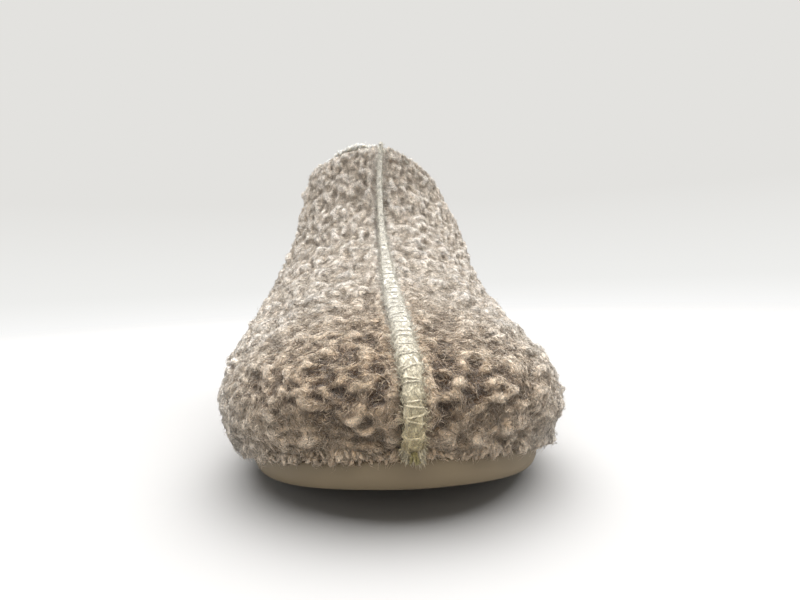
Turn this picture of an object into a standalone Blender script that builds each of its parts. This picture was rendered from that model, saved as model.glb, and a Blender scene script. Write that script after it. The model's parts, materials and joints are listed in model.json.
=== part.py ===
"""Ankle-high slipper boot for a right foot: outsole, wool insole, hollow fleece upper and raised front seam.

Frame: +Z up, toe towards -Y, medial (big toe) side towards +X, origin at the bottom centre of the boot's box.
The upper is lofted through level contours of the last, from the sole to the collar.
"""

import math

import bmesh
import bpy
import numpy as np

MM = 0.001
GAP = 0.3 * MM

# Outsole: one moulded slab with toe spring, a low arch and a rolled lower edge
SOLE_FORE_THICKNESS = 10.5 * MM
SOLE_HEEL_THICKNESS = 12.5 * MM
HEEL_RAMP_START = -20.0 * MM
HEEL_RAMP_END = 60.0 * MM
SOLE_TOE = -131.0 * MM
SOLE_BACK = 130.0 * MM
TOE_SPRING = 11.0 * MM
TOE_SPRING_START = -48.0 * MM
TOE_SPRING_POWER = 1.7
TOE_TAPER = 1.5 * MM
ARCH_RISE = 1.8 * MM
ARCH_START = -5.0 * MM
ARCH_END = 52.0 * MM
HEEL_ROLL = 2.5 * MM
HEEL_ROLL_START = 112.0 * MM

# Upper: hide with a wool lining inside and a curly pile outside
WALL = 9.0 * MM
LOCK_RELIEF = 3.0 * MM
LOCK_TIP_SPREAD = 0.35
LOCK_GAP_SPREAD = 0.25
LOCK_DROOP = 0.35
LOCK_SEED = 11
COLLAR_ROLL = 2.5 * MM
LEVELS = 33
SIDE_COLUMNS = 42
OUTLINE_SAMPLES = 240

# Raised seam up the centre front, standing in a groove of the pile
SEAM_HALF_WIDTH = 3.1 * MM
SEAM_GROOVE_HALF_WIDTH = 3.6 * MM
SEAM_GROOVE_SHOULDER = 4.8 * MM
SEAM_GROOVE_DEPTH = 4.5 * MM
SEAM_PROUD = 1.4 * MM
SEAM_CREST_SHARE = 0.6
SEAM_NIB = 4.0 * MM
SEAM_COLUMNS = (SEAM_GROOVE_HALF_WIDTH, SEAM_GROOVE_SHOULDER)
COLUMNS = 2 * (len(SEAM_COLUMNS) + SIDE_COLUMNS)

# Loose wool insole
INSOLE_THICKNESS = 6.0 * MM
INSOLE_EDGE = 2.0 * MM
INSOLE_CLEARANCE = 0.5 * MM

# Stations along the foot where the widths of a contour are given
BALL_STATION = -58.0 * MM
WAIST_STATION = 18.0 * MM
HEEL_STATION = 88.0 * MM
BEYOND_THE_ENDS = 400.0 * MM
ROUNDNESS = 2.15
LONGEST_NOSE_SHARE = 0.62
LONGEST_HEEL_SHARE = 0.38
SWING_SHARE = 0.55
SWING_POWER = 1.5

CONTOUR_COLUMNS = (
    "front_height", "back_height", "front", "back", "front_shift", "nose", "heel_round",
    "ball_medial", "ball_lateral", "waist_medial", "waist_lateral", "heel_medial", "heel_lateral",
    "spring_share", "medial_dip", "lateral_dip",
)

# Contours of the curl tips, in millimetres, from the feather edge on the sole to the collar
UPPER_CONTOURS = (
    (11.5, 12.0, -132, 132, 7.0, 74, 48, 56, 58, 42, 50.5, 38, 39, 1.00, 0, 0),
    (17.0, 20.0, -137, 136, 7.2, 74, 50, 61, 63.5, 46, 54.5, 41, 42, 1.00, 0, 0),
    (25.0, 30.0, -139, 138, 7.5, 76, 50, 60.5, 64, 47, 56, 43, 44, 0.95, 0, 0),
    (35.0, 40.0, -136, 138, 7.5, 78, 50, 58.5, 62.5, 48, 58, 44, 45, 0.80, 0, 0),
    (44.0, 50.0, -126, 137, 6.5, 84, 50, 54.5, 60, 47, 58, 44, 45, 0.60, 0, 0),
    (52.0, 59.0, -110, 135, 6.0, 90, 50, 49.5, 57, 46, 57, 44, 45, 0.40, 0, 0),
    (61.0, 68.0, -86, 133, 4.5, 90, 50, 47, 53, 45.5, 54, 44, 44, 0.20, 0, 0),
    (71.0, 77.0, -60, 131, 3.2, 86, 50, 46, 49, 46, 51, 44.5, 44, 0.00, 0, 0),
    (82.0, 87.0, -36, 129, 2.2, 80, 50, 46, 47, 46.5, 48, 45, 44, 0.00, 0, 0),
    (95.0, 98.0, -18, 128, 1.5, 72, 50, 44, 45, 45, 46, 44, 43, 0.00, 2, 0),
    (112.0, 111.0, -8, 127, 1.5, 64, 50, 39.5, 42, 40, 43, 40, 41, 0.00, 7, 2),
    (130.0, 125.0, -3, 127, 3.0, 58, 50, 34, 39, 35, 40, 36.5, 38, 0.00, 15, 6),
)

# Outline of the outsole in the same columns
SOLE_CONTOUR = (0.0, 0.0, -131, 130, 7.0, 94, 50, 54.5, 54.5, 40, 47, 36, 37, 0.00, 0, 0)

# Side of the outsole from its top edge down to the rolled lower edge, in millimetres
SOLE_EDGE_COLUMNS = ("inset", "drop_share")
SOLE_EDGE = (
    (0.8, 0.00),
    (0.0, 0.09),
    (0.0, 0.50),
    (0.6, 0.74),
    (1.9, 0.91),
    (4.6, 1.00),
)

FINISHES = {
    "outsole": ((0.18, 0.15, 0.12, 1.0), 0.55),
    "insole": ((0.80, 0.76, 0.66, 1.0), 0.95),
    "upper": ((0.42, 0.37, 0.32, 1.0), 0.95),
    "front_seam": ((0.76, 0.71, 0.56, 1.0), 0.90),
}


def smooth_through(stations, values, at):
    """Monotone cubic through the stations, with no overshoot between them."""
    stations = np.asarray(stations, float)
    values = np.asarray(values, float)
    at = np.clip(at, stations[0], stations[-1])
    spans = np.diff(stations)
    slopes = np.diff(values) / spans
    tangents = np.concatenate([slopes[:1], np.zeros(len(values) - 2), slopes[-1:]])
    for i in range(1, len(values) - 1):
        if slopes[i - 1] * slopes[i] > 0:
            before = 2 * spans[i] + spans[i - 1]
            after = spans[i] + 2 * spans[i - 1]
            tangents[i] = (before + after) / (before / slopes[i - 1] + after / slopes[i])
    k = np.clip(np.searchsorted(stations, at, side="right") - 1, 0, len(spans) - 1)
    t = (at - stations[k]) / spans[k]
    start = values[k] * (1 + 2 * t) + spans[k] * tangents[k] * t
    end = values[k + 1] * (3 - 2 * t) - spans[k] * tangents[k + 1] * (1 - t)
    return start * (1 - t) ** 2 + end * t**2


def toe_spring(y):
    """How far the toe curls up off the floor at a place along the foot."""
    share = np.clip((TOE_SPRING_START - y) / (TOE_SPRING_START - SOLE_TOE), 0.0, None)
    return TOE_SPRING * share**TOE_SPRING_POWER


def sole_underside(y):
    """Height of the sole's underside: flat at ball and heel, raised at toe, arch and back edge."""
    along_arch = np.clip((y - ARCH_START) / (ARCH_END - ARCH_START), 0.0, 1.0)
    arch = ARCH_RISE * np.sin(math.pi * along_arch) ** 2
    roll = np.clip((y - HEEL_ROLL_START) / (SOLE_BACK - HEEL_ROLL_START), 0.0, None)
    return toe_spring(y) * (1 + TOE_TAPER / TOE_SPRING) + arch + HEEL_ROLL * roll**2


def sole_top(y):
    """Height of the sole's upper face, a little thicker under the heel."""
    ramp = np.clip((y - HEEL_RAMP_START) / (HEEL_RAMP_END - HEEL_RAMP_START), 0.0, 1.0)
    ramp = ramp * ramp * (3 - 2 * ramp)
    return toe_spring(y) + SOLE_FORE_THICKNESS + (SOLE_HEEL_THICKNESS - SOLE_FORE_THICKNESS) * ramp


def contour_at(level):
    """The contour's named sizes, in metres, at a level between two rows of the table."""
    rows = np.array(UPPER_CONTOURS, float)
    sizes = [smooth_through(np.arange(len(rows)), rows[:, i], level) for i in range(rows.shape[1])]
    return named_sizes(sizes)


def named_sizes(row):
    """A table row as named sizes in metres. Only the spring's share has no unit."""
    sizes = {name: float(value) * MM for name, value in zip(CONTOUR_COLUMNS, row)}
    sizes["spring_share"] /= MM
    return sizes


def end_rounding(distance, reach):
    """Share of the full width at a distance from a rounded end, from 0 at the end to 1."""
    left = 1 - np.clip(distance / reach, 0.0, 1.0)
    return (1 - left**ROUNDNESS) ** (1 / ROUNDNESS)


def contour_sides(size):
    """The medial and the lateral half of a contour, each a dense line from the front to the back."""
    turn = np.linspace(0.0, 1.0, OUTLINE_SAMPLES)
    share = (1 - np.cos(math.pi * turn)) / 2
    length = size["back"] - size["front"]
    y = size["front"] + length * share
    rounding = end_rounding(y - size["front"], min(size["nose"], LONGEST_NOSE_SHARE * length))
    rounding = rounding * end_rounding(size["back"] - y, min(size["heel_round"], LONGEST_HEEL_SHARE * length))
    swing = size["front_shift"] * np.clip(1 - share / SWING_SHARE, 0.0, 1.0) ** SWING_POWER
    height = size["front_height"] + (size["back_height"] - size["front_height"]) * share
    height = height + size["spring_share"] * toe_spring(np.maximum(y, SOLE_TOE))
    stations = (-BEYOND_THE_ENDS, BALL_STATION, WAIST_STATION, HEEL_STATION, BEYOND_THE_ENDS)
    sides = []
    for side, sign in (("medial", 1), ("lateral", -1)):
        ball, waist, heel = (size[f"{place}_{side}"] for place in ("ball", "waist", "heel"))
        width = rounding * smooth_through(stations, (ball, ball, waist, heel, heel), y)
        z = height - size[f"{side}_dip"] * np.sin(math.pi * turn)
        sides.append(np.column_stack([swing + sign * width, y, z]))
    return sides


def spaced_along(line, distances):
    """Points of a line at the given distances from its start."""
    travelled = np.concatenate([[0.0], np.cumsum(np.linalg.norm(np.diff(line, axis=0), axis=1))])
    return np.column_stack([np.interp(distances, travelled, line[:, i]) for i in range(3)])


def length_of(line):
    """Length of a line of points."""
    return float(np.linalg.norm(np.diff(line, axis=0), axis=1).sum())


def closed_ring(size, first_columns=()):
    """A contour as one ring of points: front, medial side, back, lateral side."""
    halves = []
    for line in contour_sides(size):
        length = length_of(line)
        start = first_columns[-1] if first_columns else 0.0
        count = SIDE_COLUMNS + (0 if first_columns else len(SEAM_COLUMNS))
        even = np.linspace(start, length, count + 1)[1:]
        halves.append(spaced_along(line, np.concatenate([[0.0], first_columns, even])))
    medial, lateral = halves
    return np.vstack([medial, lateral[-2:0:-1]])


def even_levels():
    """Levels of the loft, spaced so that neighbouring rings lie evenly apart on the skin."""
    trial = np.linspace(0.0, len(UPPER_CONTOURS) - 1.0, 4 * LEVELS)
    rings = np.array([closed_ring(contour_at(level)) for level in trial])
    steps = np.linalg.norm(np.diff(rings, axis=0), axis=2).mean(axis=1)
    travelled = np.concatenate([[0.0], np.cumsum(steps)])
    return np.interp(np.linspace(0.0, travelled[-1], LEVELS), travelled, trial)


def skin_of_upper():
    """Grid of the curl tips, one ring for each level, and the outward normal at each point."""
    skin = np.array([closed_ring(contour_at(level), SEAM_COLUMNS) for level in even_levels()])
    skin[0, :, 2] = sole_top(skin[0, :, 1]) + GAP
    around = np.roll(skin, -1, axis=1) - np.roll(skin, 1, axis=1)
    upwards = np.gradient(skin, axis=0)
    normals = np.cross(around, upwards)
    normals[0, :, 2] = 0.0
    normals /= np.linalg.norm(normals, axis=2, keepdims=True)
    return skin, normals


def is_lock(row, column):
    """Whether a point of the skin is the tip of a lock. Locks stand brick fashion."""
    return (row + column) % 2 == 0


def sunk_below_tips(row, column, variation):
    """How far the outer wall lies below the curl tips: least at a lock, most in the seam's groove."""
    from_front = min(column, COLUMNS - column)
    if from_front < len(SEAM_COLUMNS):
        return SEAM_GROOVE_DEPTH
    if column == COLUMNS // 2:
        return LOCK_RELIEF
    if from_front == len(SEAM_COLUMNS) or is_lock(row, column):
        return LOCK_RELIEF * LOCK_TIP_SPREAD * variation
    return LOCK_RELIEF * (1 - LOCK_GAP_SPREAD * variation)


def hangs(row, column):
    """Share of a level by which a lock's tip hangs down. Tips stay level along the seams and the edges."""
    from_front = min(column, COLUMNS - column)
    on_edge = row in (0, LEVELS - 1)
    beside_seam = from_front <= len(SEAM_COLUMNS) or column == COLUMNS // 2
    return LOCK_DROOP if is_lock(row, column) and not on_edge and not beside_seam else 0.0


def add_rings(bm, grid):
    """Adds the vertices of a grid of rings."""
    return [[bm.verts.new(point) for point in ring] for ring in grid]


def skin_rings(bm, rings):
    """Quads between neighbouring rings of the same count."""
    for low, high in zip(rings, rings[1:]):
        count = len(low)
        for i in range(count):
            j = (i + 1) % count
            bm.faces.new((low[i], low[j], high[j], high[i]))


def skin_rings_in_peaks(bm, rings):
    """Triangles between neighbouring rings, creased from gap to gap so that every lock is a peak."""
    for row, (low, high) in enumerate(zip(rings, rings[1:])):
        count = len(low)
        for i in range(count):
            j = (i + 1) % count
            if is_lock(row, i):
                bm.faces.new((low[i], low[j], high[i]))
                bm.faces.new((low[j], high[j], high[i]))
            else:
                bm.faces.new((low[i], low[j], high[j]))
                bm.faces.new((low[i], high[j], high[i]))


def stitch_to_half(bm, fine, coarse):
    """Triangles between a ring and one with half as many points."""
    count = len(coarse)
    for i in range(count):
        j = (i + 1) % count
        start, middle, end = fine[2 * i], fine[2 * i + 1], fine[(2 * i + 2) % len(fine)]
        bm.faces.new((start, middle, coarse[i]))
        bm.faces.new((middle, coarse[j], coarse[i]))
        bm.faces.new((middle, end, coarse[j]))


def close_across(bm, ring):
    """Caps a ring with strips from its medial side to its lateral side."""
    count = len(ring)
    half = count // 2
    for i in range(half):
        corners = [ring[i], ring[i + 1], ring[(count - i - 1) % count], ring[(count - i) % count]]
        bm.faces.new(list(dict.fromkeys(corners)))


def solid(bm, name, origin):
    """Turns a bmesh into a named object with its finish, moved so that the origin is at zero."""
    bmesh.ops.translate(bm, verts=bm.verts, vec=[-value for value in origin])
    bmesh.ops.recalc_face_normals(bm, faces=bm.faces)
    bmesh.ops.triangulate(bm, faces=bm.faces, quad_method="SHORT_EDGE")
    mesh = bpy.data.meshes.new(name)
    bm.to_mesh(mesh)
    bm.free()
    mesh.shade_smooth()
    mesh.set_sharp_from_angle(angle=math.radians(50))
    mesh.materials.append(finish(name))
    made = bpy.data.objects.new(name, mesh)
    bpy.context.scene.collection.objects.link(made)
    return made


def finish(name):
    """Principled material in the piece's own colour."""
    colour, roughness = FINISHES[name]
    material = bpy.data.materials.new(name)
    material.use_nodes = True
    shader = material.node_tree.nodes["Principled BSDF"]
    shader.inputs["Base Color"].default_value = colour
    shader.inputs["Roughness"].default_value = roughness
    shader.inputs["Metallic"].default_value = 0.0
    return material


def outer_wall(skin, normals):
    """The outside of the upper: the curl tips with the gaps between locks and the seams sunk in."""
    outer = skin.copy()
    variations = np.random.default_rng(LOCK_SEED).random((LEVELS, COLUMNS))
    for row in range(LEVELS):
        for column in range(COLUMNS):
            sunk = sunk_below_tips(row, column, variations[row, column])
            outer[row, column] -= normals[row, column] * sunk
            outer[row, column] += hangs(row, column) * (skin[max(row - 1, 0), column] - skin[row, column])
    outer[0, :, 2] = sole_top(outer[0, :, 1]) + GAP
    return outer


def inner_wall(skin, normals):
    """The inside of the upper, a wall's thickness below the curl tips, on every second point."""
    inner = (skin - WALL * normals)[::2, ::2]
    inner[0, :, 2] = sole_top(inner[0, :, 1]) + GAP
    return inner


def build_upper(skin, normals, origin):
    """One hollow wall, open at the collar and underneath."""
    outer = outer_wall(skin, normals)
    crest = skin[-1:] - 0.5 * WALL * normals[-1:]
    crest[0, :, 2] += COLLAR_ROLL
    seam_columns = [c for c in range(COLUMNS) if min(c, COLUMNS - c) < len(SEAM_COLUMNS)]
    middle_of_groove = 0.5 * (WALL + SEAM_GROOVE_DEPTH)
    crest[0, seam_columns, :2] = (skin[-1] - middle_of_groove * normals[-1])[seam_columns, :2]
    bm = bmesh.new()
    outside = add_rings(bm, np.concatenate([outer, crest]))
    inside = add_rings(bm, inner_wall(skin, normals))
    skin_rings_in_peaks(bm, outside)
    skin_rings(bm, inside)
    stitch_to_half(bm, outside[-1], inside[-1])
    stitch_to_half(bm, outside[0], inside[0])
    return solid(bm, "upper", origin)


def build_front_seam(skin, normals, origin):
    """The two panel edges sewn together: a rib that follows the centre front and ends in a nib."""
    foot = -(SEAM_GROOVE_DEPTH - GAP)
    section = (
        (-SEAM_HALF_WIDTH, foot),
        (-SEAM_HALF_WIDTH, 0.0),
        (-SEAM_CREST_SHARE * SEAM_HALF_WIDTH, SEAM_PROUD),
        (SEAM_CREST_SHARE * SEAM_HALF_WIDTH, SEAM_PROUD),
        (SEAM_HALF_WIDTH, 0.0),
        (SEAM_HALF_WIDTH, foot),
    )
    line, outward = skin[:, 0], normals[:, 0]
    across = skin[:, 1] - skin[:, -1]
    across /= np.linalg.norm(across, axis=1, keepdims=True)
    rise = line[-1] - line[-2]
    nib = line[-1] + rise * (SEAM_NIB / np.linalg.norm(rise))
    line = np.vstack([line, nib])
    outward = np.vstack([outward, outward[-1]])
    across = np.vstack([across, across[-1]])
    rings = np.array([
        [point + side * width + up * height for width, height in section]
        for point, side, up in zip(line, across, outward)
    ])
    rings[0, :, 2] = sole_top(rings[0, :, 1]) + GAP
    bm = bmesh.new()
    rib = add_rings(bm, rings)
    skin_rings(bm, rib)
    bm.faces.new(rib[0])
    bm.faces.new(rib[-1])
    return solid(bm, "front_seam", origin)


def inset_ring(ring, inset):
    """A ring moved inwards in plan by the same distance all round."""
    along = np.roll(ring, -1, axis=0) - np.roll(ring, 1, axis=0)
    outward = np.column_stack([along[:, 1], -along[:, 0]])
    outward /= np.linalg.norm(outward, axis=1, keepdims=True)
    moved = ring.copy()
    moved[:, :2] -= inset * outward
    return moved


def build_outsole(origin):
    """Moulded slab: rings from the top edge down to the rolled lower edge, capped across."""
    outline = closed_ring(named_sizes(SOLE_CONTOUR))
    rings = []
    for row in SOLE_EDGE:
        edge = dict(zip(SOLE_EDGE_COLUMNS, row))
        ring = inset_ring(outline, edge["inset"] * MM)
        top, bottom = sole_top(ring[:, 1]), sole_underside(ring[:, 1])
        ring[:, 2] = top + (bottom - top) * edge["drop_share"]
        rings.append(ring)
    bm = bmesh.new()
    side = add_rings(bm, rings)
    skin_rings(bm, side)
    close_across(bm, side[0])
    close_across(bm, side[-1])
    return solid(bm, "outsole", origin)


def build_insole(skin, normals, origin):
    """Wool insole lying on the sole inside the upper, with a rounded top edge."""
    outline = inset_ring(inner_wall(skin, normals)[0], INSOLE_CLEARANCE)
    rings = []
    for inset, height in ((0.0, 0.0), (0.0, INSOLE_THICKNESS - INSOLE_EDGE), (INSOLE_EDGE, INSOLE_THICKNESS)):
        ring = inset_ring(outline, inset)
        ring[:, 2] = sole_top(ring[:, 1]) + GAP + height
        rings.append(ring)
    bm = bmesh.new()
    side = add_rings(bm, rings)
    skin_rings(bm, side)
    close_across(bm, side[0])
    close_across(bm, side[-1])
    return solid(bm, "insole", origin)


def box_bottom_centre(skin, normals):
    """Middle of the boot's box in plan, on the floor."""
    outer = outer_wall(skin, normals).reshape(-1, 3)
    seam_front = (skin[:, 0] + SEAM_PROUD * normals[:, 0]).reshape(-1, 3)
    points = np.vstack([outer, seam_front])
    low, high = points.min(axis=0), points.max(axis=0)
    return ((low[0] + high[0]) / 2, (low[1] + high[1]) / 2, 0.0)


def main():
    for old in list(bpy.data.objects):
        bpy.data.objects.remove(old)
    skin, normals = skin_of_upper()
    origin = box_bottom_centre(skin, normals)
    build_outsole(origin)
    build_insole(skin, normals, origin)
    build_upper(skin, normals, origin)
    build_front_seam(skin, normals, origin)


main()
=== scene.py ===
"""Looks of a right-foot slipper boot: curly wool fleece, overcast front seam, wool lining and moulded sole.

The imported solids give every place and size. Lengths are metres, +Z is up, the toe points to -Y and the medial
side to +X.
"""

import json
import logging
import math
from dataclasses import dataclass, field
from enum import Enum
from typing import Any

import bpy
import numpy as np
from mathutils import Matrix, Vector, noise
from mathutils.bvhtree import BVHTree
from mathutils.kdtree import KDTree

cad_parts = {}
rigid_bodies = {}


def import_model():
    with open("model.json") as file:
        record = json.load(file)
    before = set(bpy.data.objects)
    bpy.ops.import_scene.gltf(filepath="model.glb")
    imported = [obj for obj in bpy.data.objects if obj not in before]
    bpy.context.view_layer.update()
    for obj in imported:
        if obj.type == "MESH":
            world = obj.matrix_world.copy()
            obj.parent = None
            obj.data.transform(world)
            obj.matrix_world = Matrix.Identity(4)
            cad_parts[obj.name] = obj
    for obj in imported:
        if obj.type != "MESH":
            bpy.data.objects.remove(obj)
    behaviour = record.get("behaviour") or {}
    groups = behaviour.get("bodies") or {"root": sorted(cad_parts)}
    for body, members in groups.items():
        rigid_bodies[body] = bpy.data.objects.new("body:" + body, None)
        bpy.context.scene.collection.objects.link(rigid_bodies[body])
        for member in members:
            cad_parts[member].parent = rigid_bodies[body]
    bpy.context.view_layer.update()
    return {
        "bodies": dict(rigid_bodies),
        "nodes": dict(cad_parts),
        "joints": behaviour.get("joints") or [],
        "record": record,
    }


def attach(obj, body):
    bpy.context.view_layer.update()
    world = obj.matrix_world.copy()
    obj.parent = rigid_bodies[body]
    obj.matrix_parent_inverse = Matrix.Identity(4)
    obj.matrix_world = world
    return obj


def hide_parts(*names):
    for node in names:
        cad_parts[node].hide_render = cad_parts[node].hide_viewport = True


MM = 0.001
BODY = "root"
PILE = "pile"
FIBRE_MAP = "fibre"
MERGE_DISTANCE = 0.01 * MM
MIX_FACTOR, MIX_A, MIX_B, MIX_RESULT = 0, 6, 7, 2
UP = np.array([0.0, 0.0, 1.0])
LEVEL = np.array([1.0, 1.0, 0.0])
LOG = logging.getLogger("slipper_boot")


class WallSide(Enum):
    """The two sides of the upper's wall."""

    OUTSIDE = "outside"
    INSIDE = "inside"


class Panel(Enum):
    """The two panels of the upper, with the sign of their side along X from the front seam."""

    MEDIAL = 1
    LATERAL = -1


class Stretch(Enum):
    """Stretches of a panel along the foot, each one piece, from one station in metres to another."""

    TOE = (-1.0, -0.070)
    VAMP = (-0.070, -0.005)
    QUARTER = (-0.005, 0.048)
    HEEL = (0.048, 0.096)
    BACK = (0.096, 1.0)


class Turn(Enum):
    """The way along which a felt's colour turns, as the axis of its Object coordinates."""

    UPWARD = "Z"
    TO_HEEL = "Y"


def linear(code: str) -> tuple[float, float, float, float]:
    """Turns an sRGB hex colour into linear RGBA.

    Args:
        code: Six hex digits.

    Returns:
        Linear red, green, blue and full alpha.
    """
    channels = [int(code[i : i + 2], 16) / 255 for i in (0, 2, 4)]
    bent = [c / 12.92 if c <= 0.04045 else ((c + 0.055) / 1.055) ** 2.4 for c in channels]
    return (bent[0], bent[1], bent[2], 1.0)


def per_mm(size_mm: float) -> float:
    """Texture scale on Object coordinates for a pattern that repeats every size_mm millimetres."""
    return 1.0 / (size_mm * MM)


def feed(tree: bpy.types.NodeTree, node: bpy.types.Node, inputs: dict[Any, Any]) -> bpy.types.Node:
    """Sets or links a node's inputs.

    Args:
        tree: Tree that holds the node.
        node: The node.
        inputs: Constants, sockets to link, or nodes to link by their first output, under the input's key.

    Returns:
        The same node.
    """
    for key, value in inputs.items():
        if isinstance(value, bpy.types.Node):
            value = value.outputs[0]
        if isinstance(value, bpy.types.NodeSocket):
            tree.links.new(value, node.inputs[key])
        else:
            node.inputs[key].default_value = value
    return node


def add_node(
    tree: bpy.types.NodeTree, kind: str, inputs: dict[Any, Any] | None = None, **settings: Any
) -> bpy.types.Node:
    """Adds a shader node with its settings and links.

    Args:
        tree: Tree that gets the node.
        kind: Blender's name for the kind of shader node.
        inputs: Constants, sockets to link, or nodes to link by their first output, under the input's key.
        settings: The node's own properties.

    Returns:
        The new node.
    """
    node = tree.nodes.new(f"ShaderNode{kind}")
    for name, value in settings.items():
        setattr(node, name, value)
    return feed(tree, node, inputs or {})


def new_material(name: str) -> tuple[bpy.types.Material, bpy.types.NodeTree, bpy.types.Node]:
    """Makes a material with a Principled shader.

    Args:
        name: The real material's name.

    Returns:
        The material, its node tree and its shader.
    """
    material = bpy.data.materials.new(name)
    material.use_nodes = True
    tree = material.node_tree
    return material, tree, tree.nodes["Principled BSDF"]


def unit(vectors: np.ndarray) -> np.ndarray:
    """Scales vectors to length one along the last axis."""
    return vectors / np.maximum(np.linalg.norm(vectors, axis=-1, keepdims=True), 1e-12)


def dot(a: np.ndarray, b: np.ndarray) -> np.ndarray:
    """Dot product along the last axis, which is kept."""
    return (a * b).sum(axis=-1, keepdims=True)


@dataclass(frozen=True)
class WoolFinish:
    """Wool pile: matt, dark towards the roots, partly its own colour and partly painted shade, with pale fibre
    tips that catch the light.

    The pile attribute carries the share of tip colour, which holds the painted light and shade, the lock's tone
    and its warmth. Single wool fibres are too fine to show, so the streaks and the frizz are drawn coarser.
    """

    name: str
    root: str
    body: str
    tip: str
    warm: str
    fibre_mm: float = 0.5
    crimp_mm: float = 2.2
    frizz_mm: float = 0.9
    bump_mm: float = 0.7
    sheen: float = 0.5
    tone_spread: float = 0.14
    subsurface: float = 0.0
    glow_mm: float = 0.6
    lock_shift: tuple[float, float, float] = (0.0, 91.0, 53.0)

    def material(self) -> bpy.types.Material:
        """Builds the wool's nodes."""
        material, tree, shader = new_material(self.name)
        pile = add_node(tree, "Attribute", attribute_name=PILE)
        parts = add_node(tree, "SeparateColor", {"Color": pile}).outputs
        # The share of tip colour turns the root colour into the tip colour: its low end is partly the wool's
        # own darker roots and partly painted shade.
        ramp = add_node(tree, "ValToRGB", {"Fac": parts["Red"]})
        ramp.color_ramp.elements[0].color = linear(self.root)
        ramp.color_ramp.elements[1].color = linear(self.tip)
        ramp.color_ramp.elements.new(0.5).color = linear(self.body)
        # The warmth multiplies in the warm colour: on the fleece it is a painted warm cast, strongest in the
        # toe's shade; on the seam it is the yarn's own yellower cream.
        warming = {MIX_FACTOR: parts["Blue"], MIX_A: ramp, MIX_B: linear(self.warm)}
        warmed = add_node(tree, "Mix", warming, data_type="RGBA", blend_type="MULTIPLY")
        place = add_node(tree, "TexCoord").outputs["Object"]
        curls = {"Scale": per_mm(self.frizz_mm), "Detail": 3.0, "Roughness": 0.65, "Distortion": 1.6}
        frizz = add_node(tree, "TexNoise", {"Vector": place, **curls})
        grain = add_node(tree, "Math", {0: self.fibre_streaks(tree, pile), 1: frizz}, operation="ADD")
        tones = {0: parts["Green"], 1: self.tone_spread, 2: 1 - self.tone_spread / 2}
        tone = add_node(tree, "Math", tones, operation="MULTIPLY_ADD")
        streaks = {"Value": grain, "From Min": 0.78, "From Max": 1.22, "To Min": 0.46, "To Max": 1.42}
        streaked = add_node(tree, "MapRange", streaks)
        brightness = add_node(tree, "Math", {0: tone, 1: streaked}, operation="MULTIPLY")
        toned = add_node(tree, "HueSaturation", {"Color": warmed.outputs[MIX_RESULT], "Value": brightness})
        bump = add_node(tree, "Bump", {"Height": grain, "Strength": 1.0, "Distance": self.bump_mm * MM})
        feed(
            tree,
            shader,
            {
                "Base Color": toned,
                "Normal": bump,
                "Roughness": 0.95,
                "Specular IOR Level": 0.12,
                "Sheen Weight": self.sheen,
                "Sheen Roughness": 0.45,
                "Sheen Tint": linear(self.tip),
                "Subsurface Weight": self.subsurface,
                "Subsurface Radius": (1.0, 0.85, 0.7),
                "Subsurface Scale": self.glow_mm * MM,
            },
        )
        return material

    def fibre_streaks(self, tree: bpy.types.NodeTree, pile: bpy.types.Node) -> bpy.types.Node:
        """Noise drawn out along the crimped fibres and shifted from lock to lock.

        Args:
            tree: The material's tree.
            pile: Attribute that tells the locks apart.

        Returns:
            The noise.
        """
        run = add_node(tree, "UVMap", uv_map=FIBRE_MAP)
        shift = add_node(tree, "VectorMath", {0: pile, 1: self.lock_shift}, operation="MULTIPLY")
        parts = add_node(tree, "SeparateXYZ", {"Vector": run}).outputs
        turns = add_node(tree, "Math", {0: parts["Y"], 1: 2 * math.pi / self.crimp_mm}, operation="MULTIPLY")
        swing = add_node(tree, "Math", {0: turns}, operation="SINE")
        crimp = {0: swing, 1: 0.8 * self.fibre_mm, 2: parts["X"]}
        crimped = add_node(tree, "Math", crimp, operation="MULTIPLY_ADD")
        fibre = add_node(tree, "CombineXYZ", {"X": crimped, "Y": parts["Y"]})
        stretch = {0: fibre, 1: (1 / self.fibre_mm, 0.16 / self.fibre_mm, 1.0), 2: shift}
        drawn_out = add_node(tree, "VectorMath", stretch, operation="MULTIPLY_ADD")
        streaks = {"Vector": drawn_out, "Scale": 1.0, "Detail": 3.0, "Roughness": 0.6}
        return add_node(tree, "TexNoise", streaks)


@dataclass(frozen=True)
class FeltFinish:
    """Felted wool under a pile: matt and mottled, its colour turning from one end to the other."""

    name: str
    first: str
    last: str
    first_mm: float
    last_mm: float
    turn: Turn = Turn.UPWARD
    mottle_mm: float = 1.6
    bump_mm: float = 0.5

    def material(self) -> bpy.types.Material:
        """Builds the felt's nodes."""
        material, tree, shader = new_material(self.name)
        place = add_node(tree, "TexCoord").outputs["Object"]
        parts = add_node(tree, "SeparateXYZ", {"Vector": place}).outputs
        ends = {"From Min": self.first_mm * MM, "From Max": self.last_mm * MM}
        way = add_node(tree, "MapRange", {"Value": parts[self.turn.value], **ends})
        blend = {MIX_FACTOR: way, MIX_A: linear(self.first), MIX_B: linear(self.last)}
        colour = add_node(tree, "Mix", blend, data_type="RGBA").outputs[MIX_RESULT]
        clouds = {"Vector": place, "Scale": per_mm(self.mottle_mm), "Detail": 5.0, "Roughness": 0.65}
        mottle = add_node(tree, "TexNoise", clouds)
        tones = {"Value": mottle, "From Min": 0.3, "From Max": 0.7, "To Min": 0.78, "To Max": 1.1}
        tone = add_node(tree, "MapRange", tones)
        toned = add_node(tree, "HueSaturation", {"Color": colour, "Value": tone})
        bump = add_node(tree, "Bump", {"Height": mottle, "Strength": 0.8, "Distance": self.bump_mm * MM})
        matt = {"Roughness": 0.95, "Specular IOR Level": 0.1, "Sheen Weight": 0.3}
        feed(tree, shader, {"Base Color": toned, "Normal": bump, **matt})
        return material


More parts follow.
